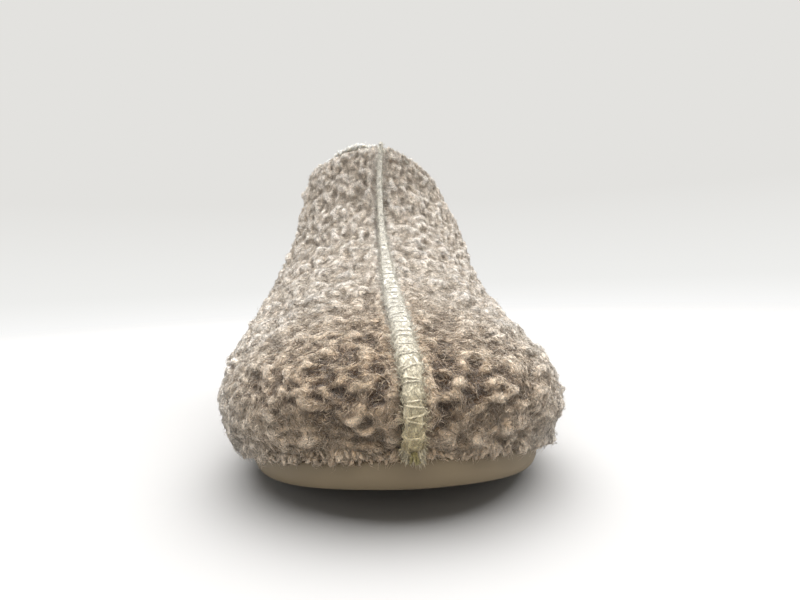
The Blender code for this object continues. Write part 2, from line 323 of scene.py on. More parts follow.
@dataclass(frozen=True)
class RubberFinish:
    """Moulded thermoplastic rubber: matt, with fine grain, faint flow marks and zigzag tread below."""

    name: str
    colour: str
    dusty: str
    grain_mm: float = 0.35
    grain_depth_mm: float = 0.05
    flow_mm: float = 18.0
    tread_mm: float = 4.5
    zigzag_mm: float = 4.0
    tread_depth_mm: float = 0.7

    def material(self) -> bpy.types.Material:
        """Builds the rubber's nodes."""
        material, tree, shader = new_material(self.name)
        place = add_node(tree, "TexCoord").outputs["Object"]
        marks = {"Vector": place, "Scale": per_mm(self.flow_mm), "Detail": 4.0, "Roughness": 0.6}
        flow = add_node(tree, "TexNoise", marks)
        blend = {MIX_FACTOR: flow, MIX_A: linear(self.colour), MIX_B: linear(self.dusty)}
        colour = add_node(tree, "Mix", blend, data_type="RGBA").outputs[MIX_RESULT]
        roughness = add_node(tree, "MapRange", {"Value": flow, "To Min": 0.5, "To Max": 0.68})
        grit = {"Vector": place, "Scale": per_mm(self.grain_mm), "Detail": 2.0}
        grain = {"Height": add_node(tree, "TexNoise", grit), "Strength": 0.25}
        bump = add_node(tree, "Bump", {**grain, "Distance": self.grain_depth_mm * MM})
        ribs = {"Height": self.tread(tree, place), "Strength": 1.0, "Distance": self.tread_depth_mm * MM}
        normal = add_node(tree, "Bump", {**ribs, "Normal": bump})
        gloss = {"Roughness": roughness, "IOR": 1.52, "Specular IOR Level": 0.35}
        feed(tree, shader, {"Base Color": colour, "Normal": normal, **gloss})
        return material

    def tread(self, tree: bpy.types.NodeTree, place: bpy.types.NodeSocket) -> bpy.types.Node:
        """Zigzag ribs across the sole, on the faces that look down.

        Args:
            tree: The material's tree.
            place: Object coordinates.

        Returns:
            Height of the tread, from 0 to 1.
        """
        parts = add_node(tree, "SeparateXYZ", {"Vector": place}).outputs
        zigzag = add_node(tree, "Math", {0: parts["X"], 1: self.zigzag_mm * MM}, operation="PINGPONG")
        along = add_node(tree, "Math", {0: parts["Y"], 1: zigzag}, operation="ADD")
        pitch = {0: along, 1: 2 * math.pi * per_mm(self.tread_mm)}
        turns = add_node(tree, "Math", pitch, operation="MULTIPLY")
        wave = add_node(tree, "Math", {0: turns}, operation="SINE")
        ribs = add_node(tree, "MapRange", {"Value": wave, "From Min": -0.35, "From Max": 0.35})
        facing = add_node(tree, "NewGeometry").outputs["Normal"]
        down = add_node(tree, "SeparateXYZ", {"Vector": facing}).outputs["Z"]
        below = add_node(tree, "MapRange", {"Value": down, "From Min": -0.75, "From Max": -0.9})
        return add_node(tree, "Math", {0: ribs, 1: below}, operation="MULTIPLY")


# Sheepskin wool with deep brown gaps, partly its darker roots and partly painted shade, under pale, slightly
# warm curls, whose fine edges catch the light.
TAUPE_FLEECE = WoolFinish(
    "curly_taupe_wool", "4e3a24", "cfc2b2", "f5eee5", "f2ddc2", tone_spread=0.34, subsurface=0.2
)
# Cream wool that lets light through, so that the rim and the inside look soft and bright.
CREAM_LINING = WoolFinish(
    "cream_lining_wool", "d3c8b0", "f0eadc", "faf7f0", "f6eedd", sheen=0.4, subsurface=0.5, glow_mm=2.0
)
# Cream wool yarn, yellower and darker towards the toe: the yellow is its own, the darkness is painted shade on
# the low seam. It is fine enough to read as threads and fuzz on the seam.
SEAM_YARN = WoolFinish("cream_overcast_yarn", "b3a37c", "e6dec8", "f8f4ea", "f2e2b8", fibre_mm=0.25)
# Wool yarn of a dull olive, darker than the seam that it hangs from.
TUFT_YARN = WoolFinish("olive_yarn_end", "7a7148", "968c62", "b0a680", "efe6c8", fibre_mm=0.25)
# Matted under-wool, painted dark as the shade deep in the gaps between the curls, with the wool's own darker
# roots;
# it is painted darkest at the toe, whose front lies in shade, and paler towards the heel.
SHADED_UNDER_WOOL = FeltFinish("taupe_under_wool_painted_shade", "4e3c28", "86765f", -95.0, -30.0, Turn.TO_HEEL, 0.9, 1.2)
# Wool felt of a plain, mottled cream, seen only between the lining's locks.
LINING_SKIN = FeltFinish("cream_lining_felt", "ddd2ba", "efe8d8", 15.0, 120.0, mottle_mm=2.4, bump_mm=0.9)
# Wool felt that turns from a darker yellow cream at the toe to a clean cream above: the yellow is its own
# colour, the darker tone is painted shade on the low seam.
SEAM_FELT = FeltFinish("cream_seam_felt", "d2c497", "eeeae0", 26.0, 62.0, mottle_mm=0.9, bump_mm=0.6)
# Thermoplastic rubber, a dull taupe with a low, broad gloss.
TAUPE_RUBBER = RubberFinish("moulded_taupe_rubber", "776852", "807259")


@dataclass
class StrandBundle:
    """Many tapered tubes gathered into one mesh. Each strand's first and last points are its poles."""

    points: list[np.ndarray] = field(default_factory=list)
    corners: list[np.ndarray] = field(default_factory=list)
    starts: list[np.ndarray] = field(default_factory=list)
    fibre_places: list[np.ndarray] = field(default_factory=list)
    piles: list[np.ndarray] = field(default_factory=list)
    point_count: int = 0
    corner_count: int = 0

    def add(
        self,
        centres: np.ndarray,
        radii: np.ndarray,
        pile: np.ndarray,
        sides: int,
        rough: np.ndarray | None = None,
    ) -> None:
        """Adds strands of the same number of rings.

        Args:
            centres: Points along each strand, of shape (strands, rings + 2, 3).
            radii: Radius of each ring, of shape (strands, rings).
            pile: Share of tip colour, tone and warmth at each point, of shape (strands, rings + 2, 3).
            sides: Points around a ring.
            rough: Factor on the radius round the rings, of shape (strands, rings, sides), if any.
        """
        strands, rings = radii.shape
        if strands == 0:
            return
        across, beside = ring_frames(centres)
        turn = (np.arange(sides) * (2 * math.pi / sides))[None, None, :, None]
        spokes = np.cos(turn) * across[:, 1:-1, None] + np.sin(turn) * beside[:, 1:-1, None]
        reach = radii[:, :, None] if rough is None else radii[:, :, None] * rough
        around = (centres[:, 1:-1, None] + reach[:, :, :, None] * spokes).reshape(strands, rings * sides, 3)
        points = np.concatenate([centres[:, :1], around, centres[:, -1:]], axis=1)
        pile = np.concatenate([pile[:, :1], np.repeat(pile[:, 1:-1], sides, axis=1), pile[:, -1:]], axis=1)
        offsets = np.arange(strands)[:, None, None] * points.shape[1]
        along = np.linalg.norm(np.diff(centres, axis=1), axis=2).cumsum(axis=1) / MM
        along = np.concatenate([np.zeros((strands, 1)), along], axis=1)
        girth = (2 * math.pi * radii.mean(axis=1) / MM)[:, None, None]
        faces, places = [], []
        for corners, turns in tube_faces(rings, sides):
            row = np.clip((corners - 1) // sides + 1, 0, rings + 1)
            row[corners == 0] = 0
            row[corners == rings * sides + 1] = rings + 1
            faces.append((corners[None] + offsets).reshape(-1, corners.shape[1]))
            places.append(np.stack([turns[None] * girth, along[:, row]], axis=-1))
        self.add_faces(points.reshape(-1, 3), pile.reshape(-1, 3), faces, places)

    def add_faces(
        self, points: np.ndarray, pile: np.ndarray, faces: list[np.ndarray], places: list[np.ndarray]
    ) -> None:
        """Adds a mesh of its own.

        Args:
            points: Its points.
            pile: Share of tip colour, tone and warmth at each point.
            faces: Corner numbers, each array holding faces of one size.
            places: Fibre coordinates of the corners of each of those arrays.
        """
        for corners, place in zip(faces, places):
            loops, size = (corners + self.point_count).reshape(-1), corners.shape[1]
            self.corners.append(loops)
            self.starts.append(self.corner_count + np.arange(len(loops) // size) * size)
            self.fibre_places.append(place.reshape(-1, 2))
            self.corner_count += len(loops)
        self.points.append(points)
        self.piles.append(pile)
        self.point_count += len(points)

    def make_piece(
        self, name: str, material: bpy.types.Material, slot: str, replaced: str | None = None
    ) -> None:
        """Turns the bundle into a smooth-shaded piece of the boot.

        Args:
            name: The piece's name.
            material: Its material.
            slot: Not used.
            replaced: Solid that it stands for, if any.
        """
        mesh = bpy.data.meshes.new(name)
        corners, starts = np.concatenate(self.corners), np.concatenate(self.starts)
        mesh.vertices.add(self.point_count)
        mesh.vertices.foreach_set("co", np.concatenate(self.points).astype(np.float32).ravel())
        mesh.loops.add(len(corners))
        mesh.loops.foreach_set("vertex_index", corners.astype(np.int32))
        mesh.polygons.add(len(starts))
        mesh.polygons.foreach_set("loop_start", starts.astype(np.int32))
        mesh.update(calc_edges=True)
        mesh.shade_smooth()
        places = np.concatenate(self.fibre_places).astype(np.float32)
        mesh.uv_layers.new(name=FIBRE_MAP).data.foreach_set("uv", places.ravel())
        pile = np.concatenate(self.piles)
        rgba = np.column_stack([pile, np.ones(len(pile))]).astype(np.float32)
        mesh.attributes.new(PILE, "FLOAT_COLOR", "POINT").data.foreach_set("color", rgba.ravel())
        mesh.materials.append(material)
        piece = bpy.data.objects.new(name, mesh)
        bpy.context.scene.collection.objects.link(piece)
        seat(piece, replaced)


def ring_frames(centres: np.ndarray) -> tuple[np.ndarray, np.ndarray]:
    """Two directions across each strand at each point, carried along without twist.

    Args:
        centres: Points of shape (strands, points, 3).

    Returns:
        Two arrays of the same shape, square to each other and to the strand.
    """
    ahead = unit(np.gradient(centres, axis=1))
    helper = np.where(np.abs(ahead[:, 0, 2:3]) < 0.9, UP, np.array([0.0, 1.0, 0.0]))
    carried = unit(np.cross(ahead[:, 0], helper))
    across = np.empty_like(centres)
    for i in range(centres.shape[1]):
        carried = unit(carried - dot(carried, ahead[:, i]) * ahead[:, i])
        across[:, i] = carried
    return across, np.cross(ahead, across)


def tube_faces(rings: int, sides: int) -> tuple[tuple[np.ndarray, np.ndarray], ...]:
    """Faces of one tube with a pole at each end.

    Args:
        rings: Number of rings.
        sides: Points around a ring.

    Returns:
        For the quads and for the end fans, their corner numbers and the share of a turn at each corner.
    """
    quads, fans, quad_turns, fan_turns = [], [], [], []
    last = 1 + (rings - 1) * sides
    for k in range(sides):
        n, here, there = (k + 1) % sides, k / sides, (k + 1) / sides
        for low in range(1, last, sides):
            quads.append((low + k, low + n, low + sides + n, low + sides + k))
            quad_turns.append((here, there, there, here))
        fans += [(1 + n, 1 + k, 0), (last + k, last + n, last + sides)]
        fan_turns += [(there, here, here), (here, there, here)]
    return (np.array(quads), np.array(quad_turns)), (np.array(fans), np.array(fan_turns))


@dataclass
class Surface:
    """Triangles with a normal at each corner, to scatter things on."""

    triangles: np.ndarray
    normals: np.ndarray

    @classmethod
    def of_faces(cls, piece: bpy.types.Object, chosen: np.ndarray) -> "Surface":
        """Takes some faces of a triangle mesh.

        Args:
            piece: Object whose faces are all triangles.
            chosen: True for each face that is taken.

        Returns:
            The surface, with normals smoothed over the chosen faces alone.
        """
        mesh = piece.data
        places = np.empty(len(mesh.vertices) * 3, np.float32)
        mesh.vertices.foreach_get("co", places)
        places = places.reshape(-1, 3).astype(float)
        corners = np.empty(len(mesh.polygons) * 3, np.int32)
        mesh.polygons.foreach_get("vertices", corners)
        corners = corners.reshape(-1, 3)[chosen]
        triangles = places[corners]
        face_normals = np.cross(triangles[:, 1] - triangles[:, 0], triangles[:, 2] - triangles[:, 0])
        normals = np.zeros_like(places)
        for i in range(3):
            np.add.at(normals, corners[:, i], face_normals)
        return cls(triangles, unit(normals)[corners])

    def part(self, chosen: np.ndarray) -> "Surface":
        """The chosen triangles alone."""
        return Surface(self.triangles[chosen], self.normals[chosen])

    def nearest_corners(self, points: np.ndarray) -> tuple[np.ndarray, np.ndarray]:
        """The corner nearest to each point, and the normal there."""
        _, number = nearest(points, self.triangles.reshape(-1, 3))
        return self.triangles.reshape(-1, 3)[number], self.normals.reshape(-1, 3)[number]

    def area(self) -> float:
        """Area in square metres."""
        return float(self.areas().sum())

    def areas(self) -> np.ndarray:
        """Area of each triangle."""
        sides = self.triangles[:, 1:] - self.triangles[:, :1]
        return 0.5 * np.linalg.norm(np.cross(sides[:, 0], sides[:, 1]), axis=1)

    def random_points(self, count: int, rng: np.random.Generator) -> tuple[np.ndarray, np.ndarray]:
        """Even random points.

        Args:
            count: How many.
            rng: Seeded source of random numbers.

        Returns:
            The points and their normals.
        """
        areas = self.areas()
        picked = rng.choice(len(areas), count, p=areas / areas.sum())
        u, v = rng.random(count), rng.random(count)
        folded = u + v > 1
        u[folded], v[folded] = 1 - u[folded], 1 - v[folded]
        shares = np.stack([1 - u - v, u, v], axis=1)[:, :, None]
        points, normals = ((values[picked] * shares).sum(axis=1) for values in (self.triangles, self.normals))
        return points, unit(normals)

    def spaced_points(self, spacing: float, rng: np.random.Generator) -> tuple[np.ndarray, np.ndarray]:
        """Random points that keep a distance from each other.

        Args:
            spacing: Least distance between two points.
            rng: Seeded source of random numbers.

        Returns:
            The points and their normals.
        """
        tries = int(10 * self.area() / spacing**2)
        points, normals = self.random_points(tries, rng)
        cells = np.floor(points / spacing).astype(int)
        taken: dict[tuple[int, int, int], list[int]] = {}
        kept = []
        for i, (x, y, z) in enumerate(cells.tolist()):
            near = [
                j
                for dx in (-1, 0, 1)
                for dy in (-1, 0, 1)
                for dz in (-1, 0, 1)
                for j in taken.get((x + dx, y + dy, z + dz), ())
            ]
            if near and (((points[near] - points[i]) ** 2).sum(axis=1) < spacing**2).any():
                continue
            taken.setdefault((x, y, z), []).append(i)
            kept.append(i)
        return points[kept], normals[kept]


def nearest(points: np.ndarray, targets: np.ndarray) -> tuple[np.ndarray, np.ndarray]:
    """Nearest target of each point.

    Args:
        points: Points of shape (n, 3).
        targets: Points of shape (m, 3).

    Returns:
        Distance to the nearest target and its number, for each point.
    """
    tree = KDTree(len(targets))
    for i, target in enumerate(targets):
        tree.insert(target, i)
    tree.balance()
    found = [tree.find(point) for point in points]
    return np.array([f[2] for f in found]), np.array([f[1] for f in found])


def points_along(edges: np.ndarray, spacing: float, rng: np.random.Generator) -> np.ndarray:
    """Points spread along loose edges.

    Args:
        edges: End points of shape (edges, 2, 3).
        spacing: Average distance between points.
        rng: Seeded source of random numbers.

    Returns:
        The points.
    """
    lengths = np.linalg.norm(edges[:, 1] - edges[:, 0], axis=1)
    count = int(lengths.sum() / spacing)
    reach = (np.arange(count) + rng.uniform(0.2, 0.8, count)) * (lengths.sum() / count)
    ends = lengths.cumsum()
    number = np.minimum(np.searchsorted(ends, reach), len(edges) - 1)
    share = (1 - (ends[number] - reach) / lengths[number])[:, None]
    return edges[number, 0] * (1 - share) + edges[number, 1] * share


def along_skin(ways: np.ndarray, normals: np.ndarray) -> np.ndarray:
    """The part of each direction that runs along the skin, at length one."""
    return unit(ways - dot(ways, normals) * normals)


def tangents_of(normals: np.ndarray, rng: np.random.Generator) -> np.ndarray:
    """A random direction along the surface at each normal."""
    return along_skin(rng.normal(size=normals.shape), normals)


def hanging(normals: np.ndarray) -> np.ndarray:
    """The direction along the surface that points most nearly down."""
    return along_skin(np.broadcast_to(-UP, normals.shape), normals)


def copy_of_node(frame: dict[str, Any], node: str, name: str) -> bpy.types.Object:
    """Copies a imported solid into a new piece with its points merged.

    Args:
        node: The solid's name.
        name: The new piece's name.

    Returns:
        The new piece, selected and active, in object mode.
    """
    bpy.ops.object.select_all(action="DESELECT")
    piece = bpy.data.objects.new(name, frame["nodes"][node].data.copy())
    piece.data.materials.clear()
    bpy.context.scene.collection.objects.link(piece)
    make_active(piece)
    bpy.ops.mesh.customdata_custom_splitnormals_clear()
    bpy.ops.object.mode_set(mode="EDIT")
    bpy.ops.mesh.select_all(action="SELECT")
    bpy.ops.mesh.remove_doubles(threshold=MERGE_DISTANCE)
    bpy.ops.object.mode_set(mode="OBJECT")
    piece.data.shade_smooth()
    return piece


def make_active(piece: bpy.types.Object) -> None:
    """Selects one piece alone and makes it active."""
    bpy.ops.object.select_all(action="DESELECT")
    piece.select_set(True)
    bpy.context.view_layer.objects.active = piece


def apply_modifier(piece: bpy.types.Object, kind: str, **settings: Any) -> None:
    """Adds a modifier to a piece and applies it.

    Args:
        piece: The piece.
        kind: Blender's name for the kind of modifier.
        settings: The modifier's own properties.
    """
    make_active(piece)
    modifier = piece.modifiers.new(kind.title(), kind)
    for name, value in settings.items():
        setattr(modifier, name, value)
    bpy.ops.object.modifier_apply(modifier=modifier.name)


def select_within(piece: bpy.types.Object, chosen: np.ndarray) -> None:
    """Leaves just the points that touch chosen faces alone selected, ready for edit mode.

    Args:
        piece: Object whose faces are all triangles.
        chosen: True for each chosen face.
    """
    mesh = piece.data
    corners = np.empty(len(mesh.polygons) * 3, np.int32)
    mesh.polygons.foreach_get("vertices", corners)
    within = np.ones(len(mesh.vertices), bool)
    within[corners.reshape(-1, 3)[~chosen].ravel()] = False
    mesh.polygons.foreach_set("select", np.zeros(len(mesh.polygons), bool))
    mesh.edges.foreach_set("select", np.zeros(len(mesh.edges), bool))
    mesh.vertices.foreach_set("select", within)


def edges_and_faces(piece: bpy.types.Object) -> tuple[np.ndarray, np.ndarray]:
    """Lists the edges of a closed mesh.

    Args:
        piece: The merged mesh.

    Returns:
        The two points of each edge, and the two faces that meet there.
    """
    across: dict[tuple[int, int], list[int]] = {}
    for face in piece.data.polygons:
        for key in face.edge_keys:
            across.setdefault(key, []).append(face.index)
    whole = [(key, faces) for key, faces in across.items() if len(faces) == 2]
    return np.array([key for key, _ in whole]), np.array([faces for _, faces in whole])


def with_neighbours(piece: bpy.types.Object, chosen: np.ndarray, rounds: int) -> np.ndarray:
    """Settles stray faces: a face goes over to the side that most faces across its edges are on.

    Args:
        piece: The merged mesh.
        chosen: True for each face that is on one side.
        rounds: How many times the faces vote.

    Returns:
        The settled choice.
    """
    _, pairs = edges_and_faces(piece)
    settled = chosen.copy()
    for _ in range(rounds):
        votes = np.zeros(len(settled))
        for a, b in ((0, 1), (1, 0)):
            np.add.at(votes, pairs[:, a], np.where(settled[pairs[:, b]], 1.0, -1.0))
        settled = np.where(votes > 0, True, np.where(votes < 0, False, settled))
    return settled


def seat(piece: bpy.types.Object, replaced: str | None = None) -> None:
    """Makes a piece part of the boot.

    Args:
        piece: The finished piece.
        replaced: Solid that it stands for, if any.
    """
    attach(piece, BODY)
    if replaced:
        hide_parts(replaced)
    piece.data.calc_loop_triangles()
    LOG.info("%s: %d triangles", piece.name, len(piece.data.loop_triangles))


@dataclass
class Upper:
    """Hide of the upper, which carries the fleece outside and the lining inside."""

    smoothing_rounds: int = 4
    sunk: float = 2.0 * MM
    spine_heights: tuple[float, ...] = (0.0, 0.045, 0.060, 0.080, 0.100, 0.130)
    spine_fronts: tuple[float, ...] = (-0.105, -0.095, -0.040, 0.010, 0.035, 0.040)
    spine_levels: tuple[float, ...] = (0.030, 0.030, 0.030, 0.055, 0.080, 0.115)
    spine_back: float = 0.090
    feather_edge_height: float = 0.026
    feather_edge_slope: float = -0.85
    vote_rounds: int = 6
    edge_split_height: float = 0.055
    outside: Surface = field(init=False)
    inside: Surface = field(init=False)
    lower_edge: np.ndarray = field(init=False)
    rim: np.ndarray = field(init=False)

    def build(self, frame: dict[str, Any]) -> None:
        """Smooths the locks off a copy of the solid, and keeps its two sides to plant wool on.
        """
        hide = copy_of_node(frame, "upper", "upper_hide")
        outer = self.faces_on(hide, WallSide.OUTSIDE)
        inner = self.faces_on(hide, WallSide.INSIDE)
        select_within(hide, outer)
        bpy.ops.object.mode_set(mode="EDIT")
        bpy.ops.mesh.vertices_smooth(factor=0.5, repeat=self.smoothing_rounds)
        bpy.ops.object.mode_set(mode="OBJECT")
        self.outside = Surface.of_faces(hide, outer)
        self.inside = Surface.of_faces(hide, inner)
        edge = self.border_of(hide, outer)
        low = edge[:, :, 2].mean(axis=1) < self.edge_split_height
        self.lower_edge, self.rim = edge[low], edge[~low]
        bpy.ops.object.mode_set(mode="EDIT")
        bpy.ops.transform.shrink_fatten(value=-self.sunk)
        bpy.ops.object.mode_set(mode="OBJECT")
        # The outside of the hide is painted dark as shade in the gaps of the fleece.
        hide.data.materials.append(SHADED_UNDER_WOOL.material())
        hide.data.materials.append(LINING_SKIN.material())
        hide.data.polygons.foreach_set("material_index", inner.astype(np.int32))
        hide.data.shade_smooth()
        seat(hide, "upper")

    def border_of(self, hide: bpy.types.Object, outer: np.ndarray) -> np.ndarray:
        """Edges where the outside ends, at the sole and round the collar.

        Args:
            hide: Merged copy of the solid.
            outer: True for each face on the outside.

        Returns:
            End points of the edges, of shape (edges, 2, 3).
        """
        edges, faces = edges_and_faces(hide)
        border = outer[faces[:, 0]] != outer[faces[:, 1]]
        places = np.array([v.co for v in hide.data.vertices])
        return places[edges[border]]

    def faces_on(self, hide: bpy.types.Object, side: WallSide) -> np.ndarray:
        """Finds the faces of one side of the wall, seen from the middle of the foot.

        Args:
            hide: Merged copy of the solid.
            side: Which side.

        Returns:
            True for each face on that side.
        """
        count = len(hide.data.polygons)
        centres, normals = np.empty(count * 3, np.float32), np.empty(count * 3, np.float32)
        hide.data.polygons.foreach_get("center", centres)
        hide.data.polygons.foreach_get("normal", normals)
        centres, normals = centres.reshape(-1, 3), normals.reshape(-1, 3)
        front = np.interp(centres[:, 2], self.spine_heights, self.spine_fronts)
        spine = np.column_stack(
            [
                np.zeros(count),
                np.clip(centres[:, 1], front, self.spine_back),
                np.interp(centres[:, 2], self.spine_heights, self.spine_levels),
            ]
        )
        away = with_neighbours(hide, (normals * (centres - spine)).sum(axis=1) > 0, self.vote_rounds)
        feather_edge = (normals[:, 2] < self.feather_edge_slope) & (centres[:, 2] < self.feather_edge_height)
        feather_edge = with_neighbours(hide, feather_edge, self.vote_rounds)
        return (away if side is WallSide.OUTSIDE else ~away) & ~feather_edge


@dataclass
class SeamLine:
    """Centre line of the front seam, from the toe to the nib above the collar."""

    points: np.ndarray
    across: np.ndarray
    outward: np.ndarray
    length: float

    @classmethod
    def of_solid(cls, frame: dict[str, Any], count: int = 400, window: int = 13) -> "SeamLine":
        """Reads the line off the crest of the seam's solid, whose faces lie in pairs of triangles.

        Args:
            count: Number of points on the line.
            window: How many of those points the line is evened out over.

        Returns:
            The line, evenly spaced.
        """
        mesh = frame["nodes"]["front_seam"].data
        crest = [face for face in mesh.polygons if cls.on_crest(face.normal)]
        crest.sort(key=lambda face: math.atan2(face.center.z, -face.center.y))
        corners = np.array([[mesh.vertices[v].co for v in face.vertices] for face in crest])
        areas = np.array([face.area for face in crest]).reshape(-1, 2, 1)
        middles = (corners.mean(axis=1).reshape(-1, 2, 3) * areas).sum(axis=1) / areas.sum(axis=1)
        normals = np.array([face.normal for face in crest]).reshape(-1, 2, 3).mean(axis=1)
        line = np.concatenate([1.5 * middles[:1] - 0.5 * middles[1:2], middles])
        normals = np.concatenate([normals[:1], normals])
        travelled = np.concatenate([[0.0], np.linalg.norm(np.diff(line, axis=0), axis=1).cumsum()])
        even = np.linspace(0.0, travelled[-1], count)
        points, outward = (
            cls.evened(np.column_stack([np.interp(even, travelled, column) for column in values.T]), window)
            for values in (line, normals)
        )
        ahead = unit(np.gradient(points, axis=0))
        across = unit(np.cross(ahead, outward))
        return cls(points, across, unit(np.cross(across, ahead)), float(travelled[-1]))

    @staticmethod
    def on_crest(normal: Vector) -> bool:
        """True for a face of the crest, which looks forward and is neither a flank nor the underside."""
        return normal.y < -0.15 and normal.z > -0.9 and abs(normal.x) < 0.25

    @staticmethod
    def evened(values: np.ndarray, window: int) -> np.ndarray:
        """Moving average along a line whose ends stay.

        Args:
            values: Values of shape (points, 3).
            window: Odd number of points to average over.

        Returns:
            The evened values.
        """
        half = window // 2
        before = 2 * values[:1] - values[half:0:-1]
        after = 2 * values[-1:] - values[-2 : -half - 2 : -1]
        padded = np.concatenate([before, values, after])
        share = np.full(window, 1 / window)
        return np.column_stack([np.convolve(column, share, "valid") for column in padded.T])

    def at(self, distance: np.ndarray) -> tuple[np.ndarray, np.ndarray, np.ndarray]:
        """Places along the line.

        Args:
            distance: Distances from the toe end.

        Returns:
            The points, the direction across and the direction outward there.
        """
        even = np.linspace(0.0, self.length, len(self.points))
        return tuple(
            np.stack([np.interp(distance, even, values[:, i]) for i in range(3)], axis=-1)
            for values in (self.points, self.across, self.outward)
        )

    def beside(self, points: np.ndarray) -> tuple[np.ndarray, np.ndarray]:
        """How points lie to the line.

        Args:
            points: Points of shape (n, 3).

        Returns:
            Their distance from the line, and how far they lie to the medial side of it.
        """
        distance, number = nearest(points, self.points)
        return distance, dot(points - self.points[number], self.across[number])[:, 0]


@dataclass(frozen=True)
class Planting:
    """Where locks grow: roots, outward directions, headings along the skin, and how low each crest lies."""

    roots: np.ndarray
    normals: np.ndarray
    headings: np.ndarray
    sink: np.ndarray


@dataclass(frozen=True)
class CurlyPile:
    """Wool locks, each a core wrapped in loose fibres: hooks out of the skin, and ropes along it."""

    spacing: float
    radius: tuple[float, float]
    rope: tuple[float, float]
    thickness: tuple[float, float]
    crest: tuple[float, float]
    tilt: float
    turn: tuple[float, float] = (math.radians(150), math.radians(270))
    rope_share: float = 0.4
    rings: int = 6
    sides: int = 7
    roughness: float = 0.22
    # Painted shade: a lock is painted darker the lower it lies over the skin, over this depth, from the share
    # at the root up by the gain.
    depth: float = 3.4 * MM
    shade_below: float = 1.2 * MM
    shade: tuple[float, float] = (0.08, 0.68)
    fibres: int = 0
    fibre_rings: int = 2
    fibre_radius: tuple[float, float] = (0.1 * MM, 0.16 * MM)
    flare: tuple[float, float] = (0.1 * MM, 0.6 * MM)
    flyaway_share: float = 0.3
    flyaway: tuple[float, float] = (0.8 * MM, 2.0 * MM)

    def grow(
        self,
        bundle: StrandBundle,
        plants: Planting,
        looks: tuple[np.ndarray, np.ndarray],
        rng: np.random.Generator,
    ) -> None:
        """Adds locks to a bundle.

        Args:
            bundle: Bundle that gets them.
            plants: Where they grow.
            looks: Least share of tip colour, and warmth, of each lock.
            rng: Seeded source of random numbers.
        """
        count = len(plants.roots)
        (pale, warmth), tone = looks, rng.random(count)
        path, girths = self.cores(plants, rng)
        height = dot(path - plants.roots[:, None], plants.normals[:, None])[:, :, 0]
        # Painted shade: each point of the lock is darker the lower it lies over the skin.
        root, gain = self.shade
        share = root + np.clip((height + self.shade_below) / self.depth, 0.0, 1.0) * gain
        share = pale[:, None] + (1 - pale[:, None]) * share
        rough = rng.uniform(1 - self.roughness, 1 + self.roughness, (count, self.rings, self.sides))
        bundle.add(path, girths[:, 1:-1], self.pile_values(share, tone, warmth), self.sides, rough)
        self.wrap(bundle, path, girths, height, np.stack([tone, warmth, pale]), rng)

    def cores(self, plants: Planting, rng: np.random.Generator) -> tuple[np.ndarray, np.ndarray]:
        """Middle lines of the locks and their girth.

        Args:
            plants: Where the locks grow.
            rng: Seeded source of random numbers.

        Returns:
            Points of shape (locks, rings + 2, 3), and the radius at each of them.
        """
        count = len(plants.roots)
        thickness = rng.uniform(*self.thickness, count)
        below = plants.sink + thickness
        hooks, ropes = self.hooks(plants, below, rng), self.ropes(plants, below, rng)
        path = np.where((rng.random(count) < self.rope_share)[:, None, None], ropes, hooks)
        share = np.linspace(0.0, 1.0, self.rings + 2)
        swell = np.interp(share, (0.0, 0.25, 0.7, 1.0), (0.7, 1.0, 0.95, 0.5))
        return path, thickness[:, None] * swell[None] * rng.uniform(0.85, 1.15, (count, self.rings + 2))

    def hooks(self, plants: Planting, below: np.ndarray, rng: np.random.Generator) -> np.ndarray:
        """Hooked middle lines of the locks.

        Args:
            plants: Where the locks grow.
            below: How far below its crest height each middle line stays.
            rng: Seeded source of random numbers.

        Returns:
            Points of shape (locks, rings + 2, 3).
        """
        normals, headings, count = plants.normals, plants.headings, len(plants.roots)
        tilt = rng.uniform(-self.tilt, self.tilt, count)[:, None]
        beside = np.cross(normals, headings)
        first = np.cos(tilt) * normals + np.sin(tilt) * beside
        third = np.cos(tilt) * beside - np.sin(tilt) * normals
        radius = rng.uniform(*self.radius, count)[:, None]
        crest = rng.uniform(*self.crest, count) - below - radius[:, 0] * np.cos(tilt[:, 0])
        share = np.linspace(0.0, 1.0, self.rings + 2)[None]
        angle = share * rng.uniform(*self.turn, count)[:, None]
        reach = radius * (1.0 - 0.3 * share)
        drift = rng.normal(0.0, 0.5, count)[:, None] * radius * share
        path = (plants.roots + normals * crest[:, None])[:, None]
        path = path + (reach * np.sin(angle))[:, :, None] * first[:, None]
        path = path + (reach * (1.0 - np.cos(angle)) - 0.5 * radius)[:, :, None] * headings[:, None]
        path = path + drift[:, :, None] * third[:, None]
        return path + rng.normal(0.0, 0.09, path.shape) * radius[:, :, None]

    def ropes(self, plants: Planting, below: np.ndarray, rng: np.random.Generator) -> np.ndarray:
        """Wavy middle lines of the locks that rise from the skin, run along it and dip back.

        Args:
            plants: Where the locks grow.
            below: How far below its crest height each middle line stays.
            rng: Seeded source of random numbers.

        Returns:
            Points of shape (locks, rings + 2, 3).
        """
        normals, headings, count = plants.normals, plants.headings, len(plants.roots)
        share = np.linspace(0.0, 1.0, self.rings + 2)[None]
        reach = rng.uniform(*self.rope, count)[:, None]
        crest = (rng.uniform(*self.crest, count) - below)[:, None]
        dip = np.abs(2 * share - 1) ** 2.6 * rng.uniform(1.6, 2.8, count)[:, None] * MM
        wave = 2 * math.pi * (share * rng.uniform(0.7, 1.2, count)[:, None] + rng.random(count)[:, None])
        swing = rng.uniform(0.5, 1.1, count)[:, None] * MM * np.sin(wave)
        ripple = 0.3 * MM * np.cos(1.7 * wave)
        path = plants.roots[:, None] + (crest - dip + ripple)[:, :, None] * normals[:, None]
        path = path + (reach * (share - 0.45))[:, :, None] * headings[:, None]
        return path + swing[:, :, None] * np.cross(normals, headings)[:, None]

